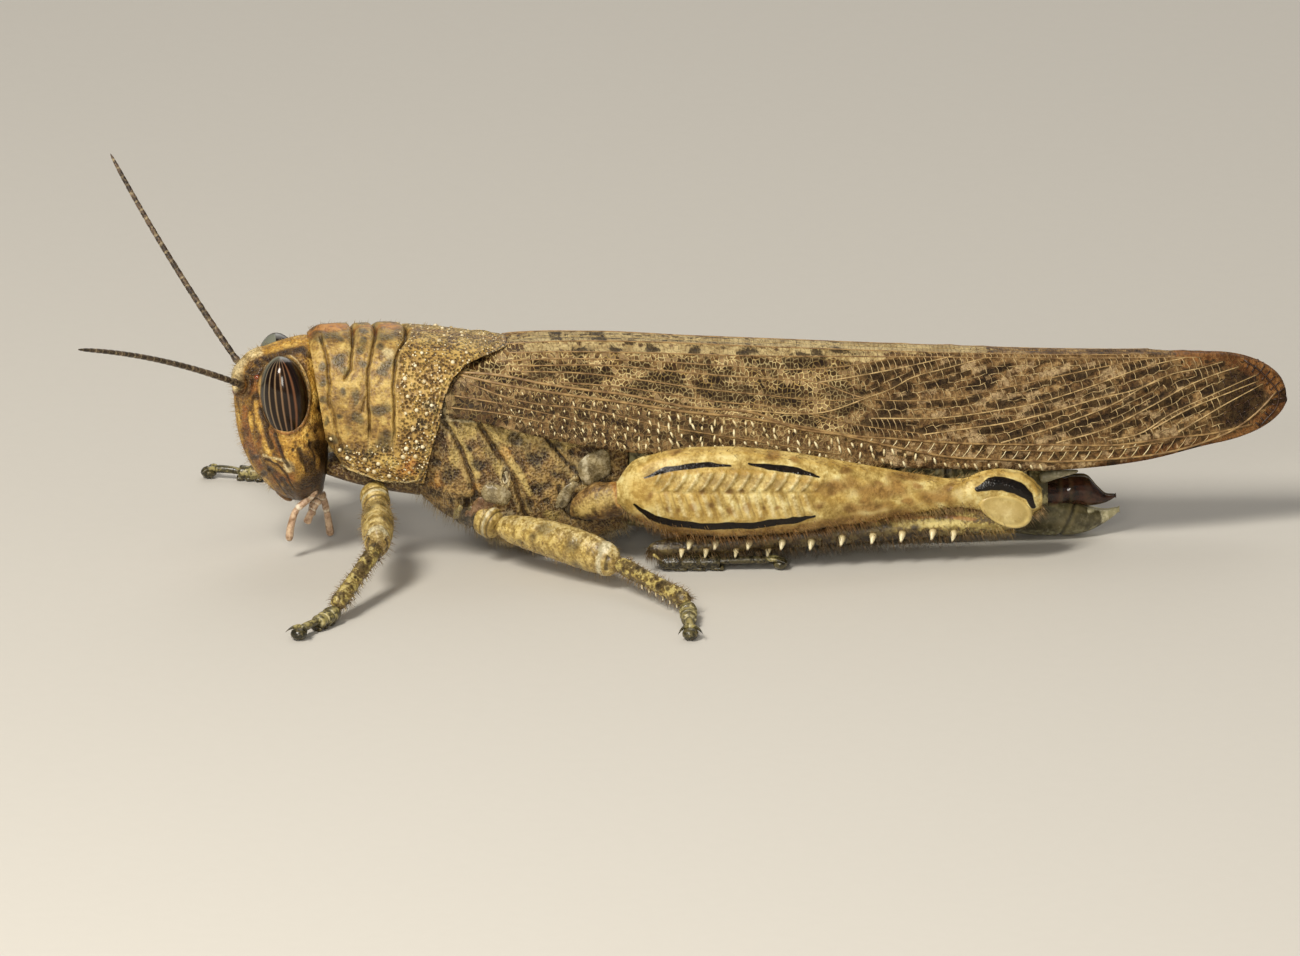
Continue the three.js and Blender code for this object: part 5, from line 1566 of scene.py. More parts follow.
def makeWalkingLegs():
    grown = []
    for number, (name, (hip, trochanter, knee, ankle, toe)) in enumerate(walkingLegs.items()):
        dice = np.random.default_rng(40 + number)
        kind, side = name.split("_")
        # hip ring with two folds
        points, t, angle = hoseLattice(straight(hip, trochanter), lambda t, a: (1.0 + 0 * t, 1.15 + 0 * t),
                                       40, 40, blunt=5)
        tint = np.zeros(t.shape + (4,))
        folds = bump(t - 0.5, 0.035) + bump(t - 0.84 - 0.03 * np.sin(angle), 0.04)
        tint[..., 0] = 0.6 * folds
        tint[..., 3] = 0.75 * bump(t - 0.66, 0.1)
        mesh, _, _ = skin(points, tint, -0.1 * folds, form=0.4)
        makePiece(kind + "Hip" + side.capitalize(), mesh, legCuticle, [kind + "_coxa_" + side])
        # thigh: fullest past the middle, keeled, with a knuckle at the knee
        length = float(np.linalg.norm(np.subtract(knee, trochanter)))
        swell = 1.0 if kind == "foreleg" else 1.06
        points, t, angle = hoseLattice(straight(trochanter, knee, 0.25), lambda t, a: (
            swell * (0.76 + 0.3 * np.sin(np.pi * t) ** 0.8 + 0.1 * bump(t - 0.95, 0.05)),
            swell * (0.8 + 0.42 * np.sin(2.4 * t) + 0.06 * bump(t - 0.95, 0.05))), 110, 64)
        tint = np.zeros(t.shape + (4,))
        tint[..., 0] = 0.85 * speckled(t, angle, length, 1.0, 12, 0.75, dice, (0.08, 0.86))
        slots = bump(t - 0.955, 0.016) * (np.cos(angle * 2) > 0.2)
        tint[..., 0] = np.maximum(tint[..., 0], 0.9 * slots)
        tint[..., 3] = 0.75 * bump(t - 0.9, 0.03) + 0.35 * (np.sin(angle) > 0.6)
        tint[..., 1] = 0.5 * np.abs(np.sin(t * 34)) * (t < 0.8)
        lift = 0.06 * np.abs(np.cos(angle * 2)) ** 4 - 0.12 * slots - 0.05 * bump(t - 0.86, 0.02)
        lift = lift + 0.015 * np.sin(t * 60) * (t < 0.85)
        mesh, skinPoints, skinNormals = skin(points, tint, lift, form=0.4)
        grown.append((skinPoints, skinNormals, tint, "thigh"))
        makePiece(kind + "Thigh" + side.capitalize(), mesh, legCuticle, [kind + "_femur_" + side])
        # shin: slim, channelled, with rows of dark spots and short spines near the end
        length = float(np.linalg.norm(np.subtract(ankle, knee)))
        points, t, angle = hoseLattice(straight(knee, ankle), lambda t, a: (
            0.6 - 0.1 * np.sin(np.pi * t) + 0.04 * bump(t - 0.95, 0.06), 0.66 - 0.1 * np.sin(np.pi * t)), 90,
            48)
        tint = np.zeros(t.shape + (4,))
        tint[..., 0] = np.maximum(speckled(t, angle, length, 0.6, 22, 0.42, dice), 0.5 * bump(t - 0.93, 0.05))
        tint[..., 3] = 0.3 * (np.sin(angle) > 0.5)
        lift = 0.045 * np.abs(np.cos(angle * 2)) ** 4
        mesh, skinPoints, skinNormals = skin(points, tint, lift, form=0.4)
        grown.append((skinPoints, skinNormals, tint, "shin"))
        makePiece(kind + "Shin" + side.capitalize(), mesh, shinCuticle, [kind + "_tibia_" + side])
        along = unit(np.subtract(ankle, knee))
        aside = unit(np.cross(along, (0, 0, 1)))
        bases, axes = [], []
        for k in range(6):
            for turned in (-1, 1):
                share = 0.4 + 0.1 * k
                bases.append(np.array(knee) + along * length * share + aside * turned * 0.34 - (0, 0, 0.36))
                axes.append(along * 0.75 + aside * turned * 0.55 - (0, 0, 0.35))
        spines = scattered(coneForm(6, 1), np.array(bases), np.array(axes), np.full(12, 0.62),
                           np.full(12, 0.09))
        makePiece(kind + "Spines" + side.capitalize(), spines, spineHorn)
        makePiece(kind + "Foot" + side.capitalize(), footMesh(ankle, toe, 0.1), footCuticle,
                  [kind + "_tarsus_" + side])
    return grown


legCuticle = chitin("legCuticle", {  # straw-coloured ringed cuticle with soft smudges
    "mottle": 1.0, "grain": 0.2, "bump": 0.03, "pit": 0.17, "pitShade": 0.25, "shade": "#3a2b14",
    "base": [(0.0, "#7c6530"), (0.4, "#a18648"), (0.65, "#bba25c"), (1.0, "#cdb678")], "ragged": 0.8,
    "yellow": [(0.35, "#b99c4c"), (0.65, "#d6bd70")], "rust": [(0.35, "#80531f"), (0.65, "#aa7a38")],
    "pale": [(0.35, "#b0a684"), (0.65, "#d8cfae")], "dark": [(0.35, "#33291a"), (0.65, "#57492c")],
    "rough": (0.3, 0.5), "darkStrength": 0.7})
legSkins = makeWalkingLegs()
print("walking legs")


# Hind body, breast, tail parts
def makeAbdomen():
    belly = {"section": [(-1.7, 11.8, 1.5, 3.7), (3.0, 11.6, 0.9, 3.9), (10.0, 10.6, 0.6, 3.7),
                         (18.0, 8.9, 0.4, 3.1),
                         (24.0, 7.0, 0.3, 2.45), (26.5, 5.7, 0.5, 1.95), (27.4, 5.0, 0.9, 1.6)],
             "joints": (1.8, 5.6, 9.4, 13.1, 16.7, 20.1, 23.2, 25.9)}
    points = roundedBox(belly["section"], -1.7, 27.4, 230, 120, 0.85)
    x, y, z = points[..., 0], points[..., 1], points[..., 2]
    lift = np.zeros(x.shape)
    paint = np.zeros(x.shape + (4,))
    for joint in belly["joints"]:
        lift -= 0.16 * bump(x - joint - 0.18, 0.16) - 0.07 * bump(x - joint + 0.25, 0.25)
        paint[..., 3] = np.maximum(paint[..., 3], 0.7 * bump(x - joint + 0.12, 0.14))
        paint[..., 0] = np.maximum(paint[..., 0], 0.75 * bump(x - joint - 0.14, 0.12))
    middle = np.interp(x, (-1.7, 29.2), (5.2, 2.4))
    lift -= 0.14 * bump(z - middle, 0.22)
    paint[..., 0] = np.maximum(paint[..., 0], 0.5 * bump(z - middle, 0.3))
    lift[:5] = lift[-5:] = 0
    mesh = skin(points, paint, lift, form=0.35)[0]
    cuticle = chitin("bellyCuticle", {  # smooth telescoping rings, soft at the joints
        "mottle": 1.3, "grain": 0.25, "bump": 0.025, "pit": 0.22, "pitShade": 0.2, "shade": "#2a2010",
        "base": [(0.3, "#4c4526"), (0.45, "#746a3e"), (0.58, "#94895a"), (0.72, "#aea474")],
        "yellow": [(0.35, "#9a8a50"), (0.65, "#bfae74")], "rust": [(0.35, "#7b5528"), (0.65, "#a37a40")],
        "pale": [(0.35, "#989072"), (0.65, "#c2baa0")], "dark": [(0.35, "#26200f"), (0.65, "#463c22")],
        "rough": (0.32, 0.5)})
    makePiece("abdomenRings", mesh, cuticle, ["abdomen"])
    breast = roundedBox([(-22.4, 6.6, 5.6, 1.5), (-21.0, 6.8, 5.2, 2.3), (-18.5, 7.0, 4.6, 2.9),
                         (-16.0, 7.0, 4.2, 3.2)],
                        -22.4, -16.0, 40, 60, 0.7)
    # The breast is painted dark all over: its own brown and painted shade under the head and shield.
    dark = np.zeros(breast.shape[:2] + (4,))
    dark[..., 0] = 0.62
    dark[..., 2] = 0.6
    makePiece("breastPlate", skin(breast, dark)[0], flankCuticle, ["breast"])
    points, t, _ = hoseLattice(straight((25.0, 0, 5.5), (28.7, 0, 4.9)), lambda t, a: (
        1.75 - 0.7 * t, 0.8 - 0.35 * t), 70, 60, blunt=6)
    tint = np.zeros(t.shape + (4,))
    tint[..., 3] = 0.7 * np.clip(np.cos(t * 60), 0, 1) * (t > 0.55)
    makePiece("tailPlate", skin(points, tint, 0.03 * np.cos(t * 60) * (t > 0.5), form=0.2)[0], cuticle)
    for side in (-1, 1):
        word = "Left" if side < 0 else "Right"
        points, t, _ = hoseLattice(bent((26.8, 1.75 * side, 4.6), (28.2, 1.8 * side, 4.95), (29.5, 1.5 * side,
                5.0)),
                                       lambda t, a: (0.42 - 0.3 * t, 0.42 - 0.3 * t), 30, 24)
        tint = np.zeros(t.shape + (4,))
        tint[..., 3] = 0.7
        makePiece("cercus" + word, skin(points, tint, form=0.3)[0], cuticle,
                  ["cercus_" + word.lower()])


makeAbdomen()
print("hind body")


def makeHindHips():
    start, middle, end = placeAt(571, 515, -4.9), placeAt(600, 501, -5.5), placeAt(637, 500, -6.3)
    points, t, angle = hoseLattice(bent(start, 2 * middle - (start + end) / 2, end), lambda t, a: (
        np.interp(t, (0, 0.15, 0.5, 0.8, 1), (0.3, 0.75, 1.1, 0.9, 0.8)),
        np.interp(t, (0, 0.15, 0.5, 0.8, 1), (0.35, 0.85, 1.35, 1.15, 0.8))), 90, 60, blunt=6)
    across, down = seen(points)
    tint = np.zeros(t.shape + (4,))
    tint[..., 1] = 0.7 * bump(lineReach(across, down, [(582, 510), (600, 500), (616, 497)]), 12)
    tint[..., 2] = 0.8 * bump(lineReach(across, down, [(612, 478), (618, 490), (620, 502)]), 6)
    # Painted shade: darker towards the lower edge.
    tint[..., 0] = 0.7 * np.clip((down - 517) / 4, 0, 1)
    mesh, _, _ = skin(points, np.clip(tint, 0, 1), 0.05 * np.sin(t * 23 + angle * 2) * bump(t - 0.7, 0.2),
                      form=0.4)
    makePiece("hindHipLeft", mesh.copy(), flankCuticle, ["hindleg_coxa_left"])
    makePiece("hindHipRight", mirrored(mesh), flankCuticle, ["hindleg_coxa_right"])


makeHindHips()


# Soft skin between the plates, and the breathing hole
# sizes in steps, thick in mm
def swelling(tree, across, down, wide, high, tilt, thick, tint=(0, 0, 0, 0), stripe=0.0):
    spot, out = landing(tree, across, down)
    right = unit(rightward - out * (rightward @ out))
    up = np.cross(out, right)
    up = up if up[2] > 0 else -up
    right, up = (right * math.cos(math.radians(tilt)) + up * math.sin(math.radians(tilt)),
                 up * math.cos(math.radians(tilt)) - right * math.sin(math.radians(tilt)))
    v, u = lattice(30, 44)
    polar, azimuth = np.pi * v, 2 * np.pi * u
    a = np.sin(polar) * power(np.cos(azimuth), 0.7)
    b = np.sin(polar) * power(np.sin(azimuth), 0.7) * (1 + 0.15 * np.sin(2 * azimuth))
    wide, high = wide * sight["step"], high * sight["step"]
    points = (spot + right * (a * wide)[..., None] + up * (b * high)[..., None]
              + out * (thick * np.cos(polar))[..., None])
    colours = np.zeros(a.shape + (4,)) + tint
    colours[..., 3] += stripe * bump(a + 0.6, 0.22)
    return skin(points, np.clip(colours, 0, 1), 0.03 * np.sin(a * 5 + b * 3), form=0.15)[0]


def makeSoftParts():
    cuticle = chitin("softMembrane", {  # damp-looking grey folds of unhardened skin
        "mottle": 0.7, "grain": 0.16, "bump": 0.02, "pit": 0.2, "pitShade": 0.06, "shade": "#4f4636",
        "rim": 0.0,
        "base": [(0.0, "#675a3e"), (0.4, "#827454"), (0.65, "#9a8c6a"), (1.0, "#b4a786")], "ragged": 0.6,
        "yellow": [(0.2, "#7d6f42"), (0.8, "#a3925c")], "rust": [(0.2, "#5c3c26"), (0.8, "#8a644a")],
        "pale": [(0.2, "#a79a78"), (0.8, "#d6cbac")], "dark": [(0.2, "#120b06"), (0.8, "#35251a")],
        "rough": (0.2, 0.36), "wearAndHighlightShare": 0.4})
    folds = [
        swelling(flankTree, 497, 494.5, 15, 10, -28, 0.3, (0, 0, 0, 0.25)),
        swelling(flankTree, 483, 506, 9, 12, -38, 0.22, (0, 0, 0.8, 0)),
        # Painted shade: a dark fold in the cup of the middle hip.
        swelling(flankTree, 469, 516, 11, 18, -18, 0.14, (0.9, 0, 0, 0)),
        swelling(flankTree, 472, 511, 5, 10, -25, 0.24, (0, 0, 0.7, 0)),
        swelling(flankTree, 458.5, 512, 3.2, 14, -12, 0.22, (0, 0.7, 0, 0)),
        swelling(flankTree, 595, 467, 17, 17, 8, 0.26, (0, 0, 0, 0), 0.8),
        swelling(flankTree, 566, 496, 8, 18, -32, 0.22, (0, 0, 0, 0.4)),
        # Painted shade: a dark fold in the gap before the hind hip.
        swelling(flankTree, 572, 511, 8, 12, -30, 0.2, (0.9, 0, 0, 0)),
        # The spiracle's pale rim with a painted highlight, and its slit painted dark as painted shade.
        swelling(flankTree, 506, 477, 3.6, 7.2, 8, 0.24, (0, 0, 0, 0.8)),
        swelling(flankTree, 506, 477, 1.7, 5.2, 8, 0.34, (0.95, 0, 0, 0)),
    ]
    whole = joined(folds)
    makePiece("softFoldsLeft", whole.copy(), cuticle)
    makePiece("softFoldsRight", mirrored(whole), cuticle)


makeSoftParts()


def makeValves():
    cuticle = chitin("valveHorn", {  # polished digging valves, nearly black above and greenish horn below
        "mottle": 1.2, "grain": 0.35, "bump": 0.012, "pit": 0.3, "pitShade": 0.1, "shade": "#0d0a07",
        "base": [(0.0, "#3d3825"), (0.4, "#4b452e"), (0.65, "#585138"), (1.0, "#665e43")],
        "yellow": [(0.2, "#6f6a48"), (0.8, "#928c66")], "rust": [(0.2, "#4a2f17"), (0.8, "#6e4a28")],
        "pale": [(0.2, "#a8a07a"), (0.8, "#ded6b0")], "dark": [(0.1, "#1c100a"), (0.9, "#46291c")],
        "rough": (0.16, 0.28), "markRough": 0.16, "shine": 0.45, "darkStrength": 1.0, "rim": 0.0})
    upper = roundedBox([(26.8, 4.4, 2.0, 1.5), (28.2, 4.3, 2.1, 1.4), (29.4, 4.35, 2.3, 1.2),
                        (30.3, 4.15, 2.2, 1.0),
                        (31.0, 3.45, 2.2, 0.75), (31.5, 3.0, 2.3, 0.5), (32.2, 2.95, 2.6, 0.26)], 26.8, 32.25,
                        80, 72, 0.9)
    x, y, z = upper[..., 0], upper[..., 1], upper[..., 2]
    tint = np.zeros(x.shape + (4,))
    tint[..., 0] = 0.95
    lift = -0.28 * bump(y, 0.16) + 0.07 * bump(x - 30.2, 0.5) - 0.1 * bump(x - 28.7, 0.25)
    lift[:5] = lift[-5:] = 0
    makePiece("upperValves", skin(upper, tint, lift, form=0.2)[0], cuticle, ["ovipositor_upper"])
    lower = roundedBox([(24.5, 3.5, 0.45, 2.1), (26.5, 3.4, 0.15, 1.95), (28.2, 3.0, 0.1, 1.75),
                        (29.4, 2.5, 0.12, 1.45),
                        (30.6, 2.0, 0.42, 1.0), (31.6, 1.85, 0.95, 0.55), (32.5, 2.05, 1.55, 0.2)], 24.5,
                        32.5, 90, 72, 0.95)
    x, y, z = lower[..., 0], lower[..., 1], lower[..., 2]
    tint = np.zeros(x.shape + (4,))
    tint[..., 3] = 1.2 * np.clip((x - 31.0) / 0.6, 0, 1) + 0.8 * bump(z - 1.95, 0.16) * (x > 30.2)
    tint[..., 1] = 0.6 * np.clip((1.4 - z) / 0.8, 0, 1)
    tint[..., 0] = 0.6 * np.clip((z - 2.3) / 0.5, 0, 1)
    lift = -0.2 * bump(y, 0.14) - 0.09 * bump(x - 28.9 - 0.5 * (z - 1.5), 0.14)
    lift[:5] = lift[-5:] = 0
    makePiece("lowerValves", skin(lower, np.clip(tint, 0, 1), lift, form=0.2)[0], cuticle,
              ["ovipositor_lower"])


makeValves()


def makeHindWings():
    # Gauzy hind wings, pleated like a fan under the fore wings.
    fan = {"rows": 150, "columns": 60, "pleats": 14, "depth": 0.1, "thick": 0.04, "below": 0.6}
    points = wingLattice(-7.0, 36.0, 0.06, 0.8, fan["rows"], fan["columns"], fan["below"])
    v, u = lattice(fan["rows"], fan["columns"])
    pleat = fan["depth"] * np.sin(u * 2 * np.pi * fan["pleats"]) * (1 - v ** 8)
    points = points + outwards(points, False) * pleat[..., None]
    points[..., 1] = np.minimum(points[..., 1], -0.06)
    mesh = skin(points, wrap=False)[0]
    bm = bmesh.new()
    bm.from_mesh(mesh)
    bmesh.ops.solidify(bm, geom=bm.faces[:], thickness=fan["thick"])
    bm.to_mesh(mesh)
    bm.free()
    material, tree = newMaterial("hindWingGauze")
    plan = add(tree, "UVMap", {"uv_map": "plan"})
    stretched = add(tree, "Mapping", {"Scale": (120, 26, 1)}, {"Vector": plan})
    cells = add(tree, "TexVoronoi", {"feature": "DISTANCE_TO_EDGE", "Scale": 1.0}, {"Vector": stretched})
    rim = add(tree, "MapRange", {"interpolation_type": "SMOOTHSTEP", 1: 0.1, 2: 0.02, 4: 1.0}, {0: cells})
    smoky = add(tree, "TexNoise", {"Scale": 1000 / 4, "Detail": 3},
                {"Vector": add(tree, "TexCoord").outputs["Object"]})
    film = add(tree, "ValToRGB", {"stops": [(0.35, "#8a7e62"), (0.65, "#b5aa8a")]}, {"Fac": smoky}).outputs[0]
    base = add(tree, "Mix", {"data_type": "RGBA", 7: "#6e5a3a"}, {0: rim, 6: film}).outputs[2]
    raised = add(tree, "Bump", {"Strength": 0.4, "Distance": 0.00003}, {"Height": rim})
    surfaced(tree, {"Roughness": 0.35, "Alpha": 1.0}, {"Base Color": base, "Normal": raised})
    makePiece("hindWingLeft", mesh.copy(), material, ["hindwing_left"])
    makePiece("hindWingRight", mirrored(mesh), material, ["hindwing_right"])


makeHindWings()
print("tail and hind wings")


# Feelers, palps and mouth
def makeFeelers():
    feeler = {"rings": 26, "thick": 0.24, "thin": 0.15,
              "left": [(-28.2, -1.1, 12.2), (-39.9, -12.0, 18.0), (0, 0, 1.0)],
              "right": [(-28.0, 1.2, 12.7), (-36.8, 6.0, 26.9), (-0.6, 0, -0.1)]}
    cuticle = chitin("feelerCuticle", {  # dull dark rings with paler joints
        "mottle": 0.8, "grain": 0.15, "bump": 0.015, "pit": 0.12, "pitShade": 0.3, "shade": "#120d09",
        "base": [(0.3, "#2a2018"), (0.5, "#44352a"), (0.7, "#5c4a3a")],
        "yellow": [(0.35, "#6a5436"), (0.65, "#8a7048")], "rust": [(0.35, "#5a3a1c"), (0.65, "#7c5630")],
        "pale": [(0.35, "#7c6c54"), (0.65, "#a09070")], "dark": [(0.35, "#140f0b"), (0.65, "#241b14")],
        "rough": (0.4, 0.6)})
    for side in ("left", "right"):
        base, tip, bend = (np.array(p, float) for p in feeler[side])
        control = (base + tip) / 2 + bend
        rings = feeler["rings"]

        def radius(t, angle):
            beads = np.abs(np.cos(np.pi * (t - 0.05) * rings)) ** 6
            thick = feeler["thick"] + (feeler["thin"] - feeler["thick"]) * t
            thick = thick * (1 - 0.1 * beads) + 0.2 * bump(t - 0.02, 0.02) + 0.08 * bump(t - 0.06, 0.012)
            return thick, thick

        inward = unit(control - base) * -0.35
        points, t, angle = hoseLattice(bent(base + inward, control, tip), radius, rings * 10, 18)
        t2 = np.abs(np.cos(np.pi * (t - 0.05) * rings)) ** 8
        tint = np.zeros(t.shape + (4,))
        tint[..., 3] = 0.7 * t2
        tint[..., 1] = 0.8 * bump(t, 0.05)
        makePiece("feeler" + side.capitalize(), skin(points, tint, form=0.5)[0], cuticle,
                  ["antenna_" + side])


makeFeelers()


def makeMouth():
    palps = {
        "palp_maxillary_left": [placeAt(x, y, -2.4) for x, y in ((317, 488), (309.5, 499), (297.5, 510),
            (292, 526), (290, 541))],
        "palp_maxillary_right": [placeAt(x, y, 2.3) for x, y in ((320, 492), (324, 500), (327, 513),
            (329, 525), (330.5, 536))],
        "palp_labial_left": [(-22.9, -0.9, 3.9), (-23.4, -1.1, 3.1), (-23.8, -1.15, 2.2)],
        "palp_labial_right": [(-22.9, 0.9, 3.9), (-23.2, 1.1, 3.1), (-23.3, 1.15, 2.1)],
    }
    cuticle = chitin("palpCuticle", {  # soft flesh-coloured rings, slightly translucent
        "mottle": 0.6, "grain": 0.15, "bump": 0.012, "pit": 0.14, "pitShade": 0.1, "shade": "#6a4a34",
        "base": [(0.0, "#8a6a4c"), (0.5, "#b5957a"), (1.0, "#ceb392")],
        "yellow": [(0.35, "#b99a6a"), (0.65, "#d6bd8c")], "rust": [(0.35, "#94603a"), (0.65, "#b98258")],
        "pale": [(0.35, "#cbbba0"), (0.65, "#e6dcc6")], "dark": [(0.35, "#2a1d14"), (0.65, "#4a3628")],
        "rough": (0.28, 0.42)})
    for name, route in palps.items():
        shares = np.linspace(0, 1, len(route))
        curve = through([(share, *place) for share, place in zip(shares, route)])
        points, t, angle = hoseLattice(lambda t: np.array(curve(t)).T, lambda t, a: (np.interp(
            t, (0, 0.12, 0.22, 0.44, 0.48, 0.52, 0.9, 1), (0.34, 0.32, 0.23, 0.25, 0.19, 0.23, 0.28, 0.27)),
            ) * 2, 90, 24, blunt=16)
        tint = np.zeros(t.shape + (4,))
        tint[..., 0] = np.clip((t - 0.95) * 14, 0, 0.8) + 0.5 * bump(t - 0.48, 0.02)
        tint[..., 3] = 0.7 * bump(t - 0.44, 0.04) + 0.7 * bump(t - 0.2, 0.04)
        parts = [skin(points, np.clip(tint, 0, 1), form=0.2)[0]]
        short = name.replace("palp_", "").split("_")
        makePiece(short[0] + "Palp" + short[1].capitalize(), joined(parts), cuticle, [name])
    points, t, angle = hoseLattice(straight((-26.6, 0, 5.6), (-24.7, 0, 3.6)), lambda t, a: (
        1.25 - 0.3 * t, 0.42 + 0 * t), 50, 56, blunt=3)
    tint = np.zeros(t.shape + (4,))
    tint[..., 2] = 0.4
    tint[..., 0] = 0.3 + 0.6 * bump(np.cos(angle) * (1.2 - t), 0.1) + 0.4 * bump(t - 0.12, 0.05)
    lift = -0.06 * bump(np.cos(angle), 0.12) - 0.05 * bump(t - 0.5, 0.06)
    makePiece("upperLip", skin(points, np.clip(tint, 0, 1), lift, form=0.3)[0], headCuticle,
              ["labrum"])
    jaws = []
    for side in (-1, 1):
        points, t, angle = hoseLattice(bent((-23.9, 3.0 * side, 6.2), (-24.2, 2.7 * side, 4.7),
                                            (-24.1, 0.7 * side, 4.1)),
                                       lambda t, a: (1.05 - 0.5 * t, 0.62 - 0.2 * t), 40, 40, blunt=5)
        tint = np.zeros(t.shape + (4,))
        tint[..., 0] = 0.62 + 0.35 * np.clip((t - 0.25) * 3, 0, 1)
        tint[..., 2] = 0.5 * bump(np.cos(angle), 0.3)
        jaws.append(skin(points, tint, form=0.2)[0])
    makePiece("jaws", joined(jaws), headCuticle)


makeMouth()


def makeSimpleEyes():
    tree = BVHTree.FromPolygons([v.co for v in bpy.data.objects["headCapsule"].data.vertices],
                                [p.vertices for p in bpy.data.objects["headCapsule"].data.polygons])
    material, nodes = newMaterial("amberLens")  # small clear amber lenses
    tint = add(nodes, "ValToRGB", {"stops": [(0.35, "#4a1c0a"), (0.65, "#7c3816")]}, {"Fac": add(
        nodes, "TexNoise", {"Scale": 1000 / 0.3}, {"Vector": add(nodes, "TexCoord").outputs["Object"]})})
    surfaced(nodes, {"Roughness": 0.12, "Coat Weight": 0.6}, {"Base Color": tint})
    bases, axes = [], []
    for place, facing in (((-27.15, -2.0, 12.95), (-0.35, -0.75, 0.35)), ((-27.15, 2.0, 12.95),
            (-0.35, 0.75, 0.35)),
                          ((-30.0, 0.0, 11.6), (-1, 0, 0.1))):
        out = Vector(facing).normalized()
        start = ontoFrame @ (Vector(place) + 2 * out)
        hit = tree.ray_cast(start, -out)
        if hit[0]:
            bases.append(np.array(ontoFrame.inverted() @ hit[0]) - np.array(out) * 0.02)
            axes.append(np.array(out))
    lenses = scattered(domeForm(12, 20), np.array(bases), np.array(axes), np.full(len(bases), 0.13),
                       np.full(len(bases), 0.2))
    makePiece("simpleEyes", closed(lenses), material)


makeSimpleEyes()
print("feelers and mouth")


# Small warts on the shield
def makeWarts():
    warts = {"large": [(445, 336), (440, 341.5), (462, 333), (456, 345), (467.6, 353), (423, 353.6),
                       (454, 362.7), (416.7, 366.4),
                       (406.4, 379), (425, 382), (442.7, 381.5), (409.4, 396.7), (421.5, 392.4), (433, 405.8),
                       (407, 413.6),
                       (418, 410.6), (428, 414), (414, 429.4), (427.6, 427.6), (418, 442), (424, 447),
                       (407.6, 448.8),
                       (404.5, 457), (417, 456.7), (410.6, 472.4), (366.4, 460), (369.4, 470), (375.5, 471.8),
                       (341.5, 450),
                       (354.8, 465), (379.7, 464), (348.8, 458), (390.6, 476), (332.4, 439)],
             "radius": 0.15, "height": 0.12, "small": 280}
    dice = np.random.default_rng(12)
    bases, axes, sizes = [], [], []
    for x, y in warts["large"]:
        hit = landing(shieldTree, x, y)
        if hit:
            bases.append(hit[0])
            axes.append(hit[1])
            sizes.append(dice.uniform(0.8, 1.15))
    while len(bases) < warts["small"]:
        x, y = dice.uniform(338, 505), dice.uniform(326, 480)
        if x < 398 and y < 446:
            continue
        hit = landing(shieldTree, x, y)
        if hit and hit[1] @ backward > 0.25:
            bases.append(hit[0])
            axes.append(hit[1])
            sizes.append(dice.uniform(0.28, 0.5))
    sizes = np.array(sizes)
    mesh = closed(scattered(domeForm(6, 8), np.array(bases), np.array(axes), warts["height"] * sizes,
                            warts["radius"] * sizes))
    material, tree = newMaterial("wartHorn")  # little polished ivory knobs
    grain = add(tree, "TexNoise", {"Scale": 1000 / 0.5, "Detail": 3},
                {"Vector": add(tree, "TexCoord").outputs["Object"]})
    tint = add(tree, "ValToRGB", {"stops": [(0.35, "#b59c66"), (0.6, "#eadfbd")]}, {"Fac": grain})
    surfaced(tree, {"Roughness": 0.3}, {"Base Color": tint})
    makePiece("wartsLeft", mesh.copy(), material)
    makePiece("wartsRight", mirrored(mesh), material)


makeWarts()
print("warts")


# Coat of fine hairs
def makeDownMaterial(name, root, tip):
    # Stiff translucent hairs, darker at the root; they take on the marks of the skin they grow from.
    material, tree = newMaterial(name)
    plan = add(tree, "SeparateXYZ", {}, {0: add(tree, "UVMap", {"uv_map": "plan"})})
    tint = add(tree, "ValToRGB", {"stops": [(0.0, root), (0.45, tip), (1.0, tip)]},
               {"Fac": plan.outputs[1]}).outputs[0]
    paint = add(tree, "Attribute", {"attribute_name": "paint"})
    parts = add(tree, "SeparateColor", {}, {0: paint.outputs["Color"]})
    for source, tone, strength in ((parts.outputs[0], "#3a2a18", 0.7), (parts.outputs[1], "#c9a85a", 0.5),
                                   (parts.outputs[2], "#9c6a34", 0.5)):
        amount = add(tree, "Math", {"operation": "MULTIPLY", 1: strength, "use_clamp": True}, {0: source})
        tint = add(tree, "Mix", {"data_type": "RGBA", 7: tone}, {0: amount, 6: tint}).outputs[2]
    varied = add(tree, "TexNoise", {"Scale": 1000 / 0.8, "Detail": 2},
                 {"Vector": add(tree, "TexCoord").outputs["Object"]})
    shade = add(tree, "MapRange", {1: 0.3, 2: 0.7, 3: 0.35, 4: 0.0}, {0: varied})
    tint = add(tree, "Mix", {"data_type": "RGBA", 7: "#5d4a2c"}, {0: shade, 6: tint}).outputs[2]
    surfaced(tree, {"Roughness": 0.45}, {"Base Color": tint})
    return material


hairForm = coneForm(3, 1)
paleDown = makeDownMaterial("paleDown", "#6e5730", "#bda980")
brownDown = makeDownMaterial("brownDown", "#523a1e", "#a2865a")


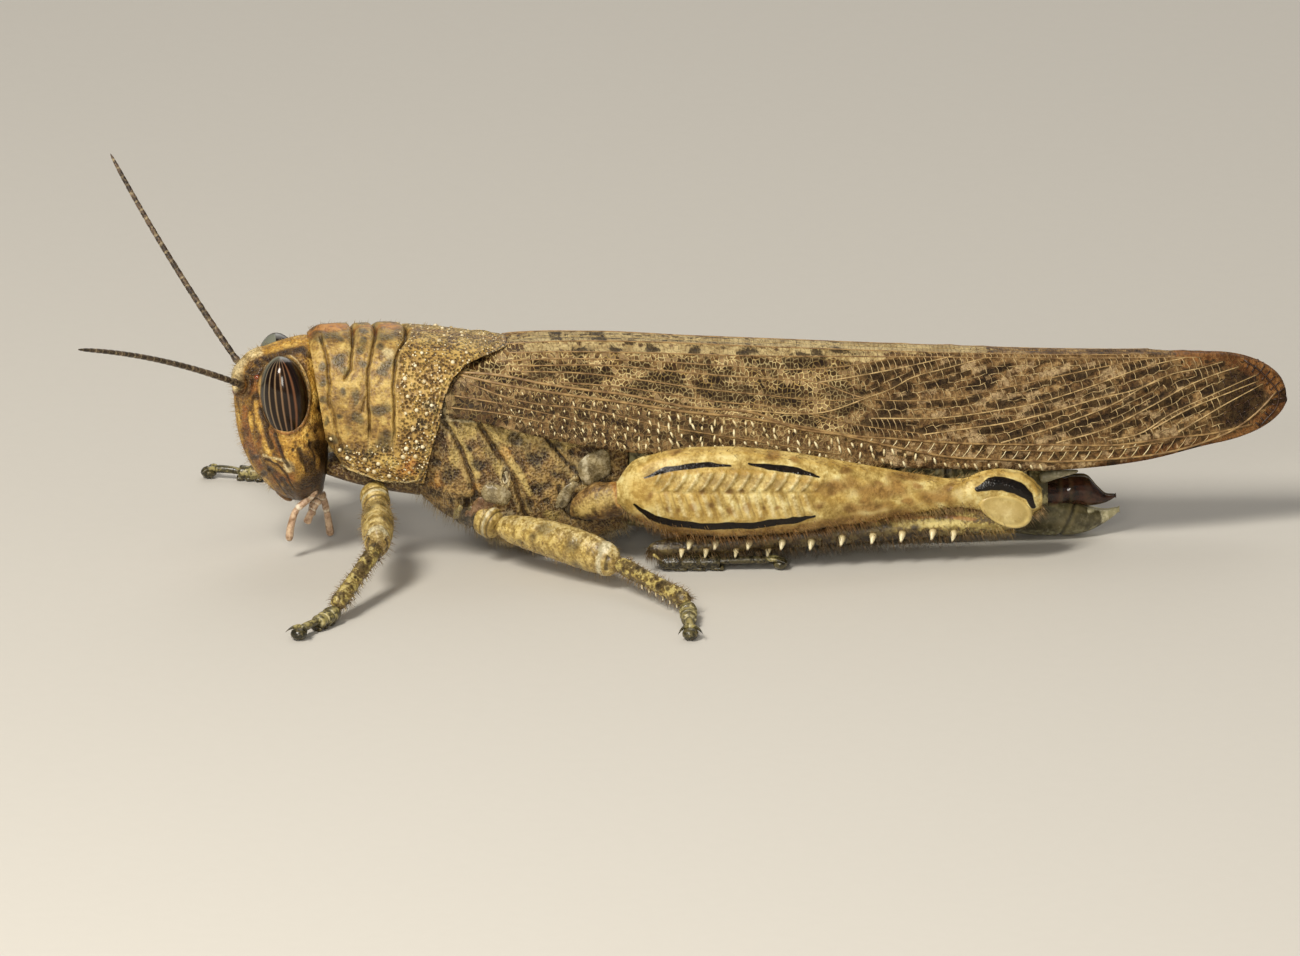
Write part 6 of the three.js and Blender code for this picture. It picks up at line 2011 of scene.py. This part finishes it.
def coat(name, grown, candidates, where, comb, lengths, radius, seed, material, both=False):
    # grown: the lattice, its normals and its paint; where: the chance of a hair at each place
    dice = np.random.default_rng(seed)
    points, normal, paint = grown
    rows, columns = points.shape[0] - 1, points.shape[1] - 1
    i = dice.integers(3, rows - 3, candidates)
    j = dice.integers(0, columns, candidates)
    base, out = points[i, j], normal[i, j]
    keep = dice.uniform(0, 1, candidates) < where(base, out)
    i, j, base, out = i[keep], j[keep], base[keep], out[keep]
    count = len(base)
    flat = out * (1, 0.4, 1) if comb is None else np.array(comb) * np.where(out[:, 1:2] > 0, (1, -1, 1),
            (1, 1, 1))
    axes = out * 0.8 + flat + dice.normal(0, 0.16, (count, 3))
    lengths = dice.uniform(*lengths, count)
    bends = np.column_stack([np.full(count, 0.12), np.zeros(count), np.full(count, -0.22)]) + dice.normal(0,
            0.05, (count, 3))
    places = np.column_stack([j / columns, i / rows])
    mesh = scattered(hairForm, base - out * 0.04, axes, lengths, radius * dice.uniform(0.8, 1.2, count),
                     bends, places, paint[i, j])
    if both:
        makePiece(name + "Left", mesh.copy(), material)
        makePiece(name + "Right", mirrored(mesh), material)
    else:
        makePiece(name, mesh, material)
    print(name, count, "hairs")


def makeCoats():
    coat("faceDown", headSkin, 5600,
         lambda p, n: np.clip((-25.9 - p[:, 0]) / 2.2, 0.03, 0.5) * (eyeReach(p) > 1.12) * (p[:, 0] < -23.2),
         (-0.25, 0, 0.12), (0.3, 0.65), 0.019, 61, paleDown)
    coat("crestDown", shieldSkin, 16000,
         lambda p, n: np.where(p[:, 2] > 15.2, 0.12, 0.02) + 0.12 * (p[:, 2] < 6.0),
         (0.1, 0, 0.25), (0.25, 0.5), 0.017, 62, paleDown)
    coat("flankDown", flankSkin, 30000,
         lambda p, n: np.clip(0.12 + 0.35 * np.clip((3.2 - p[:, 2]) / 2.4, 0, 1), 0, 1) * (p[:, 2] < 12),
         (0.15, 0, -0.25), (0.35, 0.9), 0.021, 63, paleDown)
    coat("thighFringe", thighSkin, 22000,
         lambda p, n: np.clip(-n[:, 2] * 1.3 - 0.35, 0, 1) * 0.6 + 0.12 * (n[:, 2] > 0.8),
         (0.35, -0.3, -0.35), (0.4, 0.9), 0.024, 64, brownDown, True)
    coat("shinBristles", shinSkin, 9000,
         lambda p, n: np.clip(0.14 - n[:, 2] * 0.3, 0, 1) * (p[:, 0] < 24.5),
         (0.25, -0.1, -0.25), (0.4, 0.95), 0.026, 65, brownDown, True)
    for number, (points, normal, paint, slot) in enumerate(legSkins):
        coat("legDown" + str(number + 1), (points, normal, paint), 2600,
             lambda p, n: np.full(len(p), 0.22 if slot == "shin" else 0.13),
             (0.0, 0, -0.15), (0.28, 0.6), 0.022, 70 + number, brownDown)


makeCoats()
